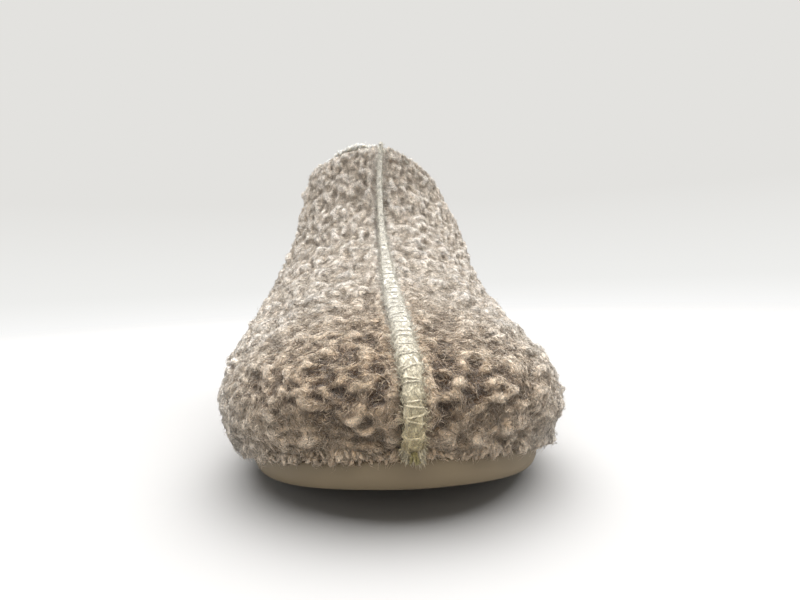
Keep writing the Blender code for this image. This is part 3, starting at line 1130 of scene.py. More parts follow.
    def wrap(
        self,
        bundle: StrandBundle,
        path: np.ndarray,
        girths: np.ndarray,
        height: np.ndarray,
        looks: np.ndarray,
        rng: np.random.Generator,
    ) -> None:
        """Wraps fibres round the locks, some of them loose at the tip.

        Args:
            bundle: Bundle that gets them.
            path: Middle lines of the locks.
            girths: Radius of the locks at each point.
            height: Height of each point over the skin.
            looks: Tone, warmth and least share of tip colour of each lock.
            rng: Seeded source of random numbers.
        """
        tone, warmth, pale = looks
        across, beside = ring_frames(path)
        locks = np.repeat(np.arange(len(path)), self.fibres)
        count, points, last = len(locks), self.fibre_rings + 2, path.shape[1] - 1
        progress = np.linspace(0.0, 1.0, points)[None]
        start = rng.uniform(0.05, 0.6, count)[:, None]
        along = np.minimum(start + rng.uniform(0.15, 0.55, count)[:, None] * progress, 1.0) * last
        low = np.minimum(along.astype(int), last - 1)
        part = along - low
        row = locks[:, None]

        def between(values: np.ndarray) -> np.ndarray:
            """Values between the points of each fibre's lock."""
            weight = part[:, :, None] if values.ndim == 3 else part
            return values[row, low] * (1 - weight) + values[row, low + 1] * weight

        turn = rng.uniform(0.0, 2 * math.pi, count)[:, None] + rng.normal(0.0, 2.2, count)[:, None] * progress
        loose = rng.random(count) < self.flyaway_share
        flare = np.where(loose, rng.uniform(*self.flyaway, count), rng.uniform(*self.flare, count))[:, None]
        lift = rng.uniform(-0.05, 0.6, (count, points)) * MM + flare * progress**2.5
        lift[:, 0] = -0.3 * between(girths)[:, 0]
        away = (between(girths) + lift)[:, :, None]
        spokes = np.cos(turn)[:, :, None] * between(across) + np.sin(turn)[:, :, None] * between(beside)
        centres = between(path) + away * spokes + rng.normal(0.0, 0.25 * MM, (count, points, 3))
        thin = rng.uniform(*self.fibre_radius, count)[:, None] * np.linspace(1.0, 0.7, self.fibre_rings)[None]
        thin = np.where(loose[:, None], 0.5 * thin, thin)
        # Painted shade darkens the fibres low on the lock, and a painted highlight makes the loose ends paler
        # towards their tips.
        shade = np.clip((between(height) + away[:, :, 0] * 0.5 + 1.0 * MM) / self.depth, 0.0, 1.0)
        shade = np.clip(0.1 + 0.72 * shade + 0.15 * progress * loose[:, None], 0.0, 1.0)
        shade = pale[locks][:, None] + (1 - pale[locks][:, None]) * shade
        spread = np.clip(tone[locks] + rng.normal(0.0, 0.22, count), 0.0, 1.0)
        bundle.add(centres, thin, self.pile_values(shade, spread, warmth[locks]), 3)

    @staticmethod
    def pile_values(share: np.ndarray, tone: np.ndarray, warmth: np.ndarray) -> np.ndarray:
        """Stacks tip share, tone and warmth for each point of each strand."""
        spread = np.ones_like(share)
        return np.stack([share, tone[:, None] * spread, warmth[:, None] * spread], axis=-1)


@dataclass
class PileRelief:
    """Felted body of a pile: a fine grid over the skin, raised to the tops of the locks and softened."""

    places: np.ndarray
    normals: np.ndarray
    base_places: np.ndarray
    base_sides: np.ndarray
    triangles: np.ndarray
    sides: np.ndarray
    floor: float
    above: float = 7.0 * MM
    felting: int = 1
    softening: int = 2
    crease_width: int = 14
    grain: tuple[float, float] = (1.1 * MM, 0.22 * MM)
    thickness: float = 2.6 * MM
    heights: np.ndarray = field(init=False)
    cavity: np.ndarray = field(init=False)
    locks: np.ndarray = field(init=False)

    @classmethod
    def over(cls, skin: Surface, cells: int, floor: float, roundness: float = 0.75) -> "PileRelief":
        """Lays the grid over a skin.

        Args:
            skin: The skin's triangles.
            cells: Cells along each side of a triangle.
            floor: Height over the skin where no lock lies.
            roundness: How far the grid bulges out between the triangle's corners.

        Returns:
            The grid, still flat on the skin.
        """
        _, base = np.unique(skin.triangles.reshape(-1, 3), axis=0, return_inverse=True)
        base = base.reshape(-1, 3)
        weights = np.array([(cells - i - j, i, j) for i in range(cells + 1) for j in range(cells + 1 - i)])
        at = {(i, j): m for m, (_, i, j) in enumerate(weights.tolist())}
        share = weights / cells
        places = np.einsum("mk,fkx->fmx", share, skin.triangles)
        over_planes = np.einsum("fmkx,fkx->fmk", places[:, :, None] - skin.triangles[:, None], skin.normals)
        places = places - roundness * np.einsum("mk,fmk,fkx->fmx", share, over_planes, skin.normals)
        normals = unit(np.einsum("mk,fkx->fmx", share, skin.normals))
        keys = np.where(weights[None] > 0, base[:, None] + 1, 0)
        order = np.argsort(keys, axis=2)
        keys = np.take_along_axis(keys, order, 2)
        parts = np.take_along_axis(np.broadcast_to(weights[None], keys.shape), order, 2)
        code = np.concatenate([keys, parts], axis=2).reshape(-1, 6)
        _, first, number = np.unique(code, axis=0, return_index=True, return_inverse=True)
        number = number.reshape(len(base), -1)
        cell = [(at[i, j], at[i + 1, j], at[i, j + 1]) for i in range(cells) for j in range(cells - i)]
        cell += [
            (at[i + 1, j], at[i + 1, j + 1], at[i, j + 1]) for i in range(cells) for j in range(cells - i - 1)
        ]
        steps = [(i, cells - i) for i in range(cells + 1)]
        side = [[at[i, 0] for i, _ in steps], [at[j, i] for i, j in steps], [at[0, j] for _, j in steps]]
        return cls(
            places.reshape(-1, 3)[first],
            normals.reshape(-1, 3)[first],
            skin.triangles.mean(axis=1),
            base,
            number[:, np.array(cell)],
            number[:, np.array(side)],
            floor,
        )

    def rise(self, path: np.ndarray, girths: np.ndarray, sides: int) -> None:
        """Raises the grid to the tops of the locks and softens it.

        Args:
            path: Middle lines of the locks.
            girths: Radius of the locks at each point.
            sides: Points round each lock.
        """
        cores = StrandBundle()
        cores.add(path, girths[:, 1:-1], np.zeros((*path.shape[:2], 3)), sides)
        quads, fans = cores.corners[0].reshape(-1, 4), cores.corners[1].reshape(-1, 3)
        owner = np.concatenate([np.arange(len(f)) // (len(f) // len(path)) for f in (quads, fans)])
        tree = BVHTree.FromPolygons(cores.points[0].tolist(), quads.tolist() + fans.tolist())
        starts = (self.places + self.above * self.normals).tolist()
        reach = self.above - self.floor
        hits = [tree.ray_cast(p, n, reach) for p, n in zip(starts, (-self.normals).tolist())]
        self.heights = np.array([self.floor if hit[3] is None else self.above - hit[3] for hit in hits])
        self.locks = np.array([-1 if hit[2] is None else owner[hit[2]] for hit in hits])
        pattern, swing = self.grain
        grain = np.array([noise.noise(p) for p in (self.places / pattern).tolist()])
        self.heights = self.blurred(self.closed(self.heights, self.felting) + swing * grain, self.softening)
        self.cavity = self.heights - self.blurred(self.heights, self.crease_width)

    def blurred(self, values: np.ndarray, rounds: int) -> np.ndarray:
        """Evens values out between neighbouring points of the grid.

        Args:
            values: A value for each point.
            rounds: How many times.

        Returns:
            The softened values.
        """
        pairs = self.neighbours()
        count = np.bincount(pairs.ravel(), minlength=len(values))
        for _ in range(rounds):
            total = np.bincount(pairs[:, 0], values[pairs[:, 1]], len(values))
            total += np.bincount(pairs[:, 1], values[pairs[:, 0]], len(values))
            values = 0.5 * values + 0.5 * total / count
        return values

    def closed(self, values: np.ndarray, rounds: int) -> np.ndarray:
        """Fills pits narrower than a few cells, as felting does, and leaves wider dips.

        Args:
            values: A height for each point.
            rounds: Half the width of the pits, in cells.

        Returns:
            The filled heights.
        """
        pairs = self.neighbours()
        for pick in (np.maximum, np.minimum):
            for _ in range(rounds):
                reached = values.copy()
                pick.at(reached, pairs[:, 0], values[pairs[:, 1]])
                pick.at(reached, pairs[:, 1], values[pairs[:, 0]])
                values = reached
        return values

    def neighbours(self) -> np.ndarray:
        """Numbers of the points at both ends of each cell's edges."""
        corners = self.triangles.reshape(-1, 3)
        return np.concatenate([corners[:, [0, 1]], corners[:, [1, 2]], corners[:, [2, 0]]])

    def tops(self) -> np.ndarray:
        """The raised points."""
        return self.places + self.heights[:, None] * self.normals

    def add_patch(
        self, bundle: StrandBundle, chosen: np.ndarray, pile: np.ndarray, fibre_places: np.ndarray
    ) -> None:
        """Adds one closed patch: the relief, a plain underside within the hide, and a rim between them.

        Args:
            bundle: Bundle that gets it.
            chosen: Numbers of the skin's triangles that the patch covers.
            pile: Share of tip colour, tone and warmth at each grid point.
            fibre_places: Fibre coordinates at each grid point.
        """
        triangles = self.triangles[chosen].reshape(-1, 3)
        used = np.unique(triangles)
        top = np.full(len(self.places), -1)
        top[used] = np.arange(len(used))
        across = {(a, b) for f in chosen for a, b in zip(self.base_sides[f], np.roll(self.base_sides[f], -1))}
        under: dict[int, int] = {}
        rim, undersides = [], []
        for f in chosen:
            outline: list[int] = []
            for k in range(3):
                a, b = self.base_sides[f][k], self.base_sides[f][(k + 1) % 3]
                steps = self.sides[f, k].tolist()
                inner = (b, a) in across
                kept = steps[:: len(steps) - 1] if inner else steps
                below = [under.setdefault(p, len(used) + len(under)) for p in kept]
                outline += below[:-1]
                if not inner:
                    pairs = zip(steps[:-1], steps[1:], below[:-1], below[1:])
                    rim += [(top[t1], top[t0], b0, b1) for t0, t1, b0, b1 in pairs]
            undersides.append(outline[::-1])
        low = np.array(list(under))
        points = np.concatenate([self.tops()[used], (self.places - self.thickness * self.normals)[low]])
        numbers = np.concatenate([used, low])
        faces = [top[triangles]] + [np.array(rim)] * bool(rim) + [np.array([u]) for u in undersides]
        bundle.add_faces(points, pile[numbers], faces, [fibre_places[numbers][f] for f in faces])


@dataclass(frozen=True)
class PaintedShading:
    """Painted light and shade on the wool: how pale its gaps are and how warm its colour is, from one station
    along the boot to another; on the fleece, the toe, whose front lies in shade, is painted darkest and
    warmest.

    Wool out at the sides counts as further back, painted paler as light falls on it from the sides, and wool
    below the level is painted paler with light that bounces off the table, most of all at the sides.
    """

    stations: tuple[float, float] = (-1.0, 1.0)
    pale: tuple[float, float] = (0.0, 0.0)
    warm: tuple[float, float] = (0.2, 0.2)
    aside: float = 0.0
    level: float = 38 * MM
    fade: float = 10 * MM
    low_bounce_light: float = 0.0
    low_side_light: float = 0.0
    half_width: float = 60 * MM

    def station(self, points: np.ndarray) -> np.ndarray:
        """Place of each point between the stations."""
        return points[:, 1] + self.aside * np.abs(points[:, 0])

    def paleness(self, points: np.ndarray) -> np.ndarray:
        """Least share of tip colour at each point."""
        # Painted light: wool below the level is paler, more so out at the sides, as light bounces off the table
        # and falls from the sides.
        low = np.clip((self.level - points[:, 2]) / self.fade, 0.0, 1.0)
        lift = self.low_bounce_light + self.low_side_light * np.abs(points[:, 0]) / self.half_width
        return np.interp(self.station(points), self.stations, self.pale) + lift * low

    def warmth(self, points: np.ndarray) -> np.ndarray:
        """Warmth at each point."""
        return np.interp(self.station(points), self.stations, self.warm)

    def both(self, points: np.ndarray) -> tuple[np.ndarray, np.ndarray]:
        """Least share of tip colour, and warmth, at each point."""
        return self.paleness(points), self.warmth(points)


@dataclass(frozen=True)
class FeltedPile:
    """Locks felted together into one relief, with crimped fibres laid over it.

    The fibres are drawn thicker than real ones, as thin as still shows in a picture of the whole boot.
    """

    locks: CurlyPile
    shade_below: float
    fibre_spacing: float
    cells: int = 7
    floor: float = 0.1 * MM
    # Painted shade of the relief: how much its creases darken, and the share of tip colour at the floor and its
    # gain to the crest.
    crease_shade: float = 0.18
    shade: tuple[float, float] = (0.04, 0.58)
    palest: float = 0.9
    lock_tones: tuple[float, float] = (0.3, 0.7)
    gap_tone: float = 0.4
    tone_softening: int = 3
    fibre_stations: tuple[float, ...] = (-105 * MM, -60 * MM, 0.0)
    fibre_density: tuple[float, ...] = (1.0, 1.0, 1.0)
    fibre_contrast: tuple[float, ...] = (0.5, 0.5, 0.5)
    fibre_length: tuple[float, float] = (2.0 * MM, 5.0 * MM)
    fibre_radius: tuple[float, float] = (0.09 * MM, 0.16 * MM)
    fibre_lift: tuple[float, float] = (0.0, 0.3 * MM)
    fibre_curl: float = 0.4 * MM
    fibre_stray: float = 0.75
    end_sink: float = 0.15 * MM
    loose_share: float = 0.12
    loose_thinness: float = 0.6
    loose_lift: tuple[float, float] = (0.5 * MM, 1.6 * MM)

    def plain(self, skin: Surface, uneven: float, rng: np.random.Generator) -> StrandBundle:
        """Covers a whole skin with wool of one shade, its locks turned every way.

        Args:
            skin: The skin's triangles.
            uneven: How much lower the lowest crests lie.
            rng: Seeded source of random numbers.

        Returns:
            A bundle with the wool.
        """
        roots, normals = skin.spaced_points(self.locks.spacing, rng)
        plants = Planting(roots, normals, tangents_of(normals, rng), rng.uniform(0.0, uneven, len(roots)))
        relief, looks, fibres = self.cover(skin, plants, PaintedShading(), rng)
        bundle = StrandBundle()
        relief.add_patch(bundle, np.arange(len(skin.triangles)), *looks)
        bundle.add(*fibres, 3)
        return bundle

    def cover(
        self, skin: Surface, plants: Planting, painted_shading: PaintedShading, rng: np.random.Generator
    ) -> tuple[PileRelief, tuple[np.ndarray, np.ndarray], tuple[np.ndarray, np.ndarray, np.ndarray]]:
        """Covers a skin with felted wool.

        Args:
            skin: The skin's triangles.
            plants: Where the locks grow.
            painted_shading: Paleness and warmth along the boot.
            rng: Seeded source of random numbers.

        Returns:
            The relief, its colours and fibre coordinates, and the fibres' points, radii and pile values.
        """
        relief = PileRelief.over(skin, self.cells, self.floor)
        relief.rise(*self.locks.cores(plants, rng), self.locks.sides)
        frames = (plants.roots, plants.headings, np.cross(plants.normals, plants.headings))
        looks = self.looks(relief, frames, painted_shading, rng)
        return relief, looks, self.laid_fibres(relief, plants.headings, looks[0], rng)

    def looks(
        self, relief: PileRelief, frames: tuple[np.ndarray, ...], painted_shading: PaintedShading, rng: np.random.Generator
    ) -> tuple[np.ndarray, np.ndarray]:
        """Colours the relief, darker in its low places and its creases as painted shade, and lays fibre
        coordinates along the locks.

        Args:
            relief: The raised relief.
            frames: Root, heading and direction across of each lock.
            painted_shading: Paleness and warmth along the boot.
            rng: Seeded source of random numbers.

        Returns:
            Share of tip colour, tone and warmth, and fibre coordinates, at each grid point.
        """
        # Painted shade: the lower the relief lies, and the deeper in a crease, the darker it is painted.
        root, gain = self.shade
        share = root + gain * np.clip((relief.heights + self.shade_below) / self.locks.depth, 0.0, 1.0)
        share = np.clip(share + self.crease_shade * relief.cavity / MM, 0.0, self.palest)
        pale, warmth = painted_shading.both(relief.places)
        lock_tone = np.append(rng.uniform(*self.lock_tones, len(frames[0])), self.gap_tone)
        tone = relief.blurred(lock_tone[relief.locks], self.tone_softening)
        root, heading, beside = (values[relief.locks] for values in frames)
        offset = (relief.tops() - root) / MM
        places = np.concatenate([dot(offset, beside), dot(offset, heading)], axis=1)
        return np.column_stack([pale + (1 - pale) * share, tone, warmth]), places

    def laid_fibres(
        self, relief: PileRelief, headings: np.ndarray, pile: np.ndarray, rng: np.random.Generator
    ) -> tuple[np.ndarray, np.ndarray, np.ndarray]:
        """Lays crimped fibres over the relief, closest at the toe, with some ends standing off.

        Args:
            relief: The raised relief.
            headings: Heading of each lock.
            pile: Share of tip colour, tone and warmth at each grid point.
            rng: Seeded source of random numbers.

        Returns:
            The fibres' points, of shape (fibres, 4, 3), their radii and their pile values.
        """
        tops, triangles = relief.tops(), relief.triangles.reshape(-1, 3)
        skin = Surface(tops[triangles], relief.normals[triangles])
        weight = skin.areas() * np.interp(skin.triangles[:, 0, 1], self.fibre_stations, self.fibre_density)
        count = int(weight.sum() / self.fibre_spacing**2)
        picked = rng.choice(len(weight), count, p=weight / weight.sum())
        share = rng.dirichlet((1.0, 1.0, 1.0), count)[:, :, None]
        roots = (skin.triangles[picked] * share).sum(axis=1)
        normals = relief.normals[triangles[picked, 0]]
        lock = relief.locks[triangles[picked, 0]]
        heading = np.where((lock >= 0)[:, None], headings[lock], hanging(normals))
        heading = along_skin(heading + self.fibre_stray * tangents_of(normals, rng), normals)
        beside = np.cross(normals, heading)
        progress = np.linspace(-0.5, 0.5, 4)[None, :, None]
        reach = rng.uniform(*self.fibre_length, count)[:, None, None]
        curl = rng.normal(0.0, self.fibre_curl, (count, 4, 1))
        curl = curl + reach * rng.normal(0.0, 0.25, (count, 1, 1)) * progress**2
        laid = roots[:, None] + reach * progress * heading[:, None] + curl * beside[:, None]
        tree = BVHTree.FromPolygons(tops.tolist(), triangles.tolist())
        found = [tree.find_nearest(point) for point in laid.reshape(-1, 3).tolist()]
        spots, away = (np.array([f[i] for f in found]).reshape(laid.shape) for i in (0, 1))
        faces = np.array([f[2] for f in found]).reshape(laid.shape[:2])
        lift = rng.uniform(*self.fibre_lift, (count, 4))
        lift[:, (0, -1)] -= self.end_sink
        loose = rng.random(count) < self.loose_share
        lift[loose, 2] += 0.4 * rng.uniform(*self.loose_lift, loose.sum())
        lift[loose, 3] += rng.uniform(*self.loose_lift, loose.sum())
        thin = np.repeat(rng.uniform(*self.fibre_radius, count)[:, None], 2, axis=1)
        thin[loose] *= self.loose_thinness
        looks = pile[triangles[faces, 0]].copy()
        contrast = np.interp(roots[:, 1], self.fibre_stations, self.fibre_contrast)
        # Fibres are painted a little paler than the relief under them, a painted highlight where they catch the
        # light, and their tones spread at random.
        for i, (mean, spread) in enumerate(((0.08, 0.2), (0.0, 0.35))):
            swing = (contrast * rng.normal(mean, spread, count))[:, None]
            looks[:, :, i] = np.clip(looks[:, :, i] + swing, 0.0, 1.0)
        return spots + lift[:, :, None] * away, thin, looks


@dataclass
class Fleece:
    """Curly wool on the outside of the upper, felted into lumps, with creases sunk and painted dark as shade
    between clumps.
    """

    upper: Upper
    seam: SeamLine
    body: FeltedPile = FeltedPile(
        locks=CurlyPile(
            spacing=3.0 * MM,
            radius=(1.5 * MM, 2.4 * MM),
            rope=(4.5 * MM, 7.0 * MM),
            thickness=(1.3 * MM, 1.9 * MM),
            crest=(1.7 * MM, 2.7 * MM),
            tilt=math.radians(65),
            rings=7,
            sides=8,
        ),
        shade_below=1.0 * MM,
        fibre_spacing=1.1 * MM,
        floor=-1.5 * MM,
        crease_shade=0.6,
        fibre_density=(1.9, 1.2, 1.0),
        fibre_contrast=(1.2, 0.7, 0.3),
        fibre_length=(1.6 * MM, 4.0 * MM),
    )
    fringe: CurlyPile = CurlyPile(
        spacing=1.45 * MM,
        radius=(1.5 * MM, 2.3 * MM),
        rope=(3.5 * MM, 5.0 * MM),
        thickness=(0.5 * MM, 0.9 * MM),
        crest=(1.0 * MM, 2.1 * MM),
        tilt=math.radians(50),
        turn=(math.radians(110), math.radians(190)),
        rope_share=0.5,
        rings=4,
        sides=4,
        fibres=11,
        flare=(0.2 * MM, 1.4 * MM),
    )
    # Painted light and shade along the fleece: the toe's gaps darkest and warmest, as its front lies in shade,
    # the sides and the wool below the level paler, as light reaches them from the sides and off the table.
    painted_shading: PaintedShading = PaintedShading(
        (-116 * MM, -50 * MM), (0.0, 0.42), (0.85, 0.1), aside=0.65, low_bounce_light=0.14, low_side_light=0.3
    )
    filler_spacing: float = 2.6 * MM
    filler_sink: tuple[float, float] = (1.3 * MM, 2.1 * MM)
    clump_spacing: float = 9.5 * MM
    clump_stations: tuple[float, float] = (-100 * MM, -55 * MM)
    clump_sink: tuple[float, float] = (2.15 * MM, 1.8 * MM)
    clump_lean: float = 0.6
    comb: float = 0.7
    edge_comb: float = 2.2
    edge_stray: float = 0.35
    rim_sink: float = 1.0 * MM
    seam_clearance: tuple[float, float] = (3.5 * MM, 1.9 * MM)
    seam_heights: tuple[float, float] = (40 * MM, 120 * MM)
    seam_reach: float = 9.0 * MM
    fringe_height: float = 5.0 * MM
    fringe_rows: tuple[float, ...] = (0.4 * MM, 1.7 * MM)
    rim_height: float = 8.0 * MM
    spine_from: float = 30 * MM
    seed: int = 7
    rng: np.random.Generator = field(init=False)

    def build(self) -> None:
        """Plants the locks and gathers them into one piece for each stretch of each panel."""
        self.rng = np.random.default_rng(self.seed)
        roots, normals = self.upper.outside.spaced_points(self.body.locks.spacing, self.rng)
        low_roots, low_normals = self.upper.outside.spaced_points(self.filler_spacing, self.rng)
        roots, normals = np.concatenate([roots, low_roots]), np.concatenate([normals, low_normals])
        headings, sink = self.clumped(roots, normals)
        sink[-len(low_roots) :] += self.rng.uniform(*self.filler_sink, len(low_roots))
        clear, _ = self.clear_of(roots)
        inner = [values[clear] for values in (roots, normals, headings, sink)]
        rows = self.seam_rows()
        plants = Planting(*(np.concatenate(pair) for pair in zip(inner, rows)))
        relief, looks, fibres = self.body.cover(self.upper.outside, plants, self.painted_shading, self.rng)
        _, base_side = self.clear_of(relief.base_places)
        _, fibre_side = self.clear_of(fibres[0][:, 1])
        *edge, edge_side = self.edge_roots()
        material = TAUPE_FLEECE.material()
        for panel in Panel:
            for stretch in Stretch:
                bundle = StrandBundle()
                chosen = self.on_stretch(panel, stretch, base_side, relief.base_places)
                relief.add_patch(bundle, np.flatnonzero(chosen), *looks)
                chosen = self.on_stretch(panel, stretch, fibre_side, fibres[0][:, 1])
                bundle.add(*(values[chosen] for values in fibres), 3)
                chosen = self.on_stretch(panel, stretch, edge_side, edge[0])
                plants = Planting(*(values[chosen] for values in edge), np.zeros(chosen.sum()))
                self.fringe.grow(bundle, plants, self.painted_shading.both(plants.roots), self.rng)
                bundle.make_piece(f"fleece_{panel.name}_{stretch.name}".lower(), material, "upper", "upper")

    @staticmethod
    def on_stretch(panel: Panel, stretch: Stretch, side: np.ndarray, roots: np.ndarray) -> np.ndarray:
        """True for the roots that lie on a stretch of a panel."""
        low, high = stretch.value
        return (side * panel.value > 0) & (roots[:, 1] >= low) & (roots[:, 1] < high)

    def clear_of(self, roots: np.ndarray) -> tuple[np.ndarray, np.ndarray]:
        """Finds the roots that leave the seam free, which is narrower towards the collar.

        Args:
            roots: Where locks might grow.

        Returns:
            True for each root that is clear, and how far each lies to the medial side.
        """
        distance, side = self.seam.beside(roots)
        clear = (np.abs(side) > self.room_beside(roots)) | (distance > self.seam_reach)
        return clear, np.where(roots[:, 1] > self.spine_from, roots[:, 0], side)

    def room_beside(self, points: np.ndarray) -> np.ndarray:
        """Least distance of the locks' roots from the seam's middle, by height."""
        return np.interp(points[:, 2], self.seam_heights, self.seam_clearance)

    def edge_roots(self) -> tuple[np.ndarray, ...]:
        """Roots of the rows that hang over the sole's edge and round the collar's rim.

        Returns:
            The roots, their outward directions, their headings, and how far each lies to the medial side.
        """
        rows = [points_along(self.upper.lower_edge, self.fringe.spacing, self.rng) for _ in self.fringe_rows]
        rise = np.concatenate([np.full(len(row), up) for row, up in zip(rows, self.fringe_rows)])
        low = np.concatenate(rows)
        rim = points_along(self.upper.rim, self.fringe.spacing, self.rng)
        _, low_out = self.upper.outside.nearest_corners(low)
        _, rim_out = self.upper.outside.nearest_corners(rim)
        normals = np.concatenate([unit(low_out * LEVEL), np.tile(UP, (len(rim), 1))])
        headings = np.concatenate([np.tile(-UP, (len(low), 1)), rim_out])
        roots = np.concatenate([low + rise[:, None] * UP, rim - self.rim_sink * UP])
        headings = along_skin(headings + self.edge_stray * self.rng.normal(size=headings.shape), normals)
        clear, side = self.clear_of(roots)
        return roots[clear], normals[clear], headings[clear], side[clear]

    def seam_rows(self) -> tuple[np.ndarray, ...]:
        """Roots of a row of small locks on each side of the seam, which cover the hide there.

        Returns:
            The roots, their outward directions, their headings, and how much lower than usual each lock lies.
        """
        count = int(self.seam.length / self.fringe.spacing)
        sign = np.repeat([-1.0, 1.0], count)
        reach = np.tile(np.linspace(3.0 * MM, self.seam.length - 6.0 * MM, count), 2)
        reach = reach + self.rng.uniform(-0.8, 0.8, 2 * count) * MM
        centre, across, _ = self.seam.at(reach)
        side = sign * (self.room_beside(centre) + self.rng.uniform(0.0, 0.8, 2 * count) * MM)
        aside = centre + side[:, None] * across
        skin, normals = self.upper.outside.nearest_corners(aside)
        roots = aside - dot(aside - skin, normals) * normals
        headings = hanging(normals) + 0.5 * sign[:, None] * across + 0.5 * self.rng.normal(size=roots.shape)
        return roots, normals, along_skin(headings, normals), self.rng.uniform(0.6, 1.8, 2 * count) * MM

    def clumped(self, roots: np.ndarray, normals: np.ndarray) -> tuple[np.ndarray, np.ndarray]:
        """Bends locks towards the middle of their clump, and down along the sole's edge.

        Args:
            roots: Where the locks grow.
            normals: Outward directions there.

        Returns:
            Each lock's heading, and how much lower it lies at its clump's border.
        """
        centres, _ = self.upper.outside.spaced_points(self.clump_spacing, self.rng)
        distance, number = nearest(roots, centres)
        inward = centres[number] - roots
        inward = inward - dot(inward, normals) * normals
        headings = tangents_of(normals, self.rng) + self.clump_lean * inward / (0.5 * self.clump_spacing)
        headings = headings + self.comb * hanging(normals)
        border = np.clip(distance / (0.62 * self.clump_spacing), 0.0, 1.0)
        sink = np.interp(roots[:, 1], self.clump_stations, self.clump_sink) * border**2
        over_sole = roots[:, 2] - self.edge_height(roots)
        fringe = np.clip(1.0 - over_sole / self.fringe_height, 0.0, 1.0)[:, None]
        headings = headings + self.edge_comb * fringe * hanging(normals)
        below_rim, _ = nearest(roots, self.upper.rim.reshape(-1, 3))
        sink = sink * np.clip(below_rim / self.rim_height, 0.1, 1.0)
        return unit(headings), sink * (1 - 0.6 * fringe[:, 0])

    def edge_height(self, points: np.ndarray, bins: int = 36) -> np.ndarray:
        """Height of the upper's lower edge at the station of each point.

        Args:
            points: Points of shape (n, 3).
            bins: Number of stations.

        Returns:
            Heights of the edge.
        """
        corners = self.upper.outside.triangles.reshape(-1, 3)
        stations = np.linspace(corners[:, 1].min(), corners[:, 1].max(), bins + 1)
        number = np.clip(np.digitize(corners[:, 1], stations) - 1, 0, bins - 1)
        lowest = np.array([corners[number == i, 2].min() for i in range(bins)])
        return np.interp(points[:, 1], 0.5 * (stations[1:] + stations[:-1]), lowest)


@dataclass
class Lining:
    """Cream wool pile on the inside of the upper and round the collar's rim."""

    body: FeltedPile = FeltedPile(
        locks=CurlyPile(
            spacing=2.7 * MM,
            radius=(1.3 * MM, 2.2 * MM),
            rope=(5.0 * MM, 8.0 * MM),
            thickness=(1.1 * MM, 1.7 * MM),
            crest=(2.2 * MM, 3.2 * MM),
            tilt=math.radians(60),
        ),
        shade_below=0.8 * MM,
        fibre_spacing=2.2 * MM,
    )
    fluff: CurlyPile = CurlyPile(
        spacing=1.5 * MM,
        radius=(1.2 * MM, 2.0 * MM),
        rope=(3.0 * MM, 5.0 * MM),
        thickness=(0.9 * MM, 1.4 * MM),
        crest=(1.6 * MM, 3.0 * MM),
        tilt=math.radians(70),
        turn=(math.radians(120), math.radians(220)),
        rope_share=0.5,
        rings=4,
        sides=4,
        fibres=9,
    )
    uneven: float = 1.3 * MM
    lowest: float = 48 * MM
    foremost: float = -45 * MM
    collar_centre: tuple[float, float, float] = (0.0, 66 * MM, 0.0)
    rim_insets: tuple[float, ...] = (2.2 * MM, 4.6 * MM)
    rim_level: float = -2.2 * MM
    rim_looks: tuple[float, float] = (0.55, 0.1)
    proud_at: tuple[float, float] = (-17 * MM, 4 * MM)
    proud_reach: float = 22 * MM
    proud_height: float = 4.4 * MM
    seed: int = 19

    def build(self, upper: Upper) -> None:
        """Plants the lining where it can be seen through the collar.

        Args:
            upper: The hide, which gives the inner skin.
        """
        rng = np.random.default_rng(self.seed)
        middles = upper.inside.triangles.mean(axis=1)
        skin = upper.inside.part((middles[:, 2] > self.lowest) & (middles[:, 1] > self.foremost))
        bundle = self.body.plain(skin, self.uneven, rng)
        self.grow_rim(bundle, upper, rng)
        bundle.make_piece("upper_lining", CREAM_LINING.material(), "upper")

    def grow_rim(self, bundle: StrandBundle, upper: Upper, rng: np.random.Generator) -> None:
        """Adds the lining's fluff inside the rim, which stands proud of it on the lateral front.

        Args:
            bundle: Bundle that gets it.
            upper: The hide, which gives the rim.
            rng: Seeded source of random numbers.
        """
        rows = [points_along(upper.rim, self.fluff.spacing, rng) for _ in self.rim_insets]
        inset = np.concatenate([np.full(len(row), depth) for row, depth in zip(rows, self.rim_insets)])
        rim = np.concatenate(rows)
        inward = unit((np.array(self.collar_centre) - rim) * LEVEL)
        away = np.linalg.norm(rim[:, :2] - np.array(self.proud_at), axis=1)
        lift = self.rim_level + self.proud_height * np.clip(1.6 - 1.6 * away / self.proud_reach, 0.0, 1.0)
        roots = rim + inward * inset[:, None] + lift[:, None] * UP
        normals = unit(inward * 0.5 + UP)
        headings = unit(tangents_of(normals, rng) + 0.5 * (inward - dot(inward, normals) * normals))
        level = np.zeros(len(roots))
        pale, warmth = self.rim_looks
        plants = Planting(roots, normals, headings, level)
        self.fluff.grow(bundle, plants, (level + pale, level + warmth), rng)


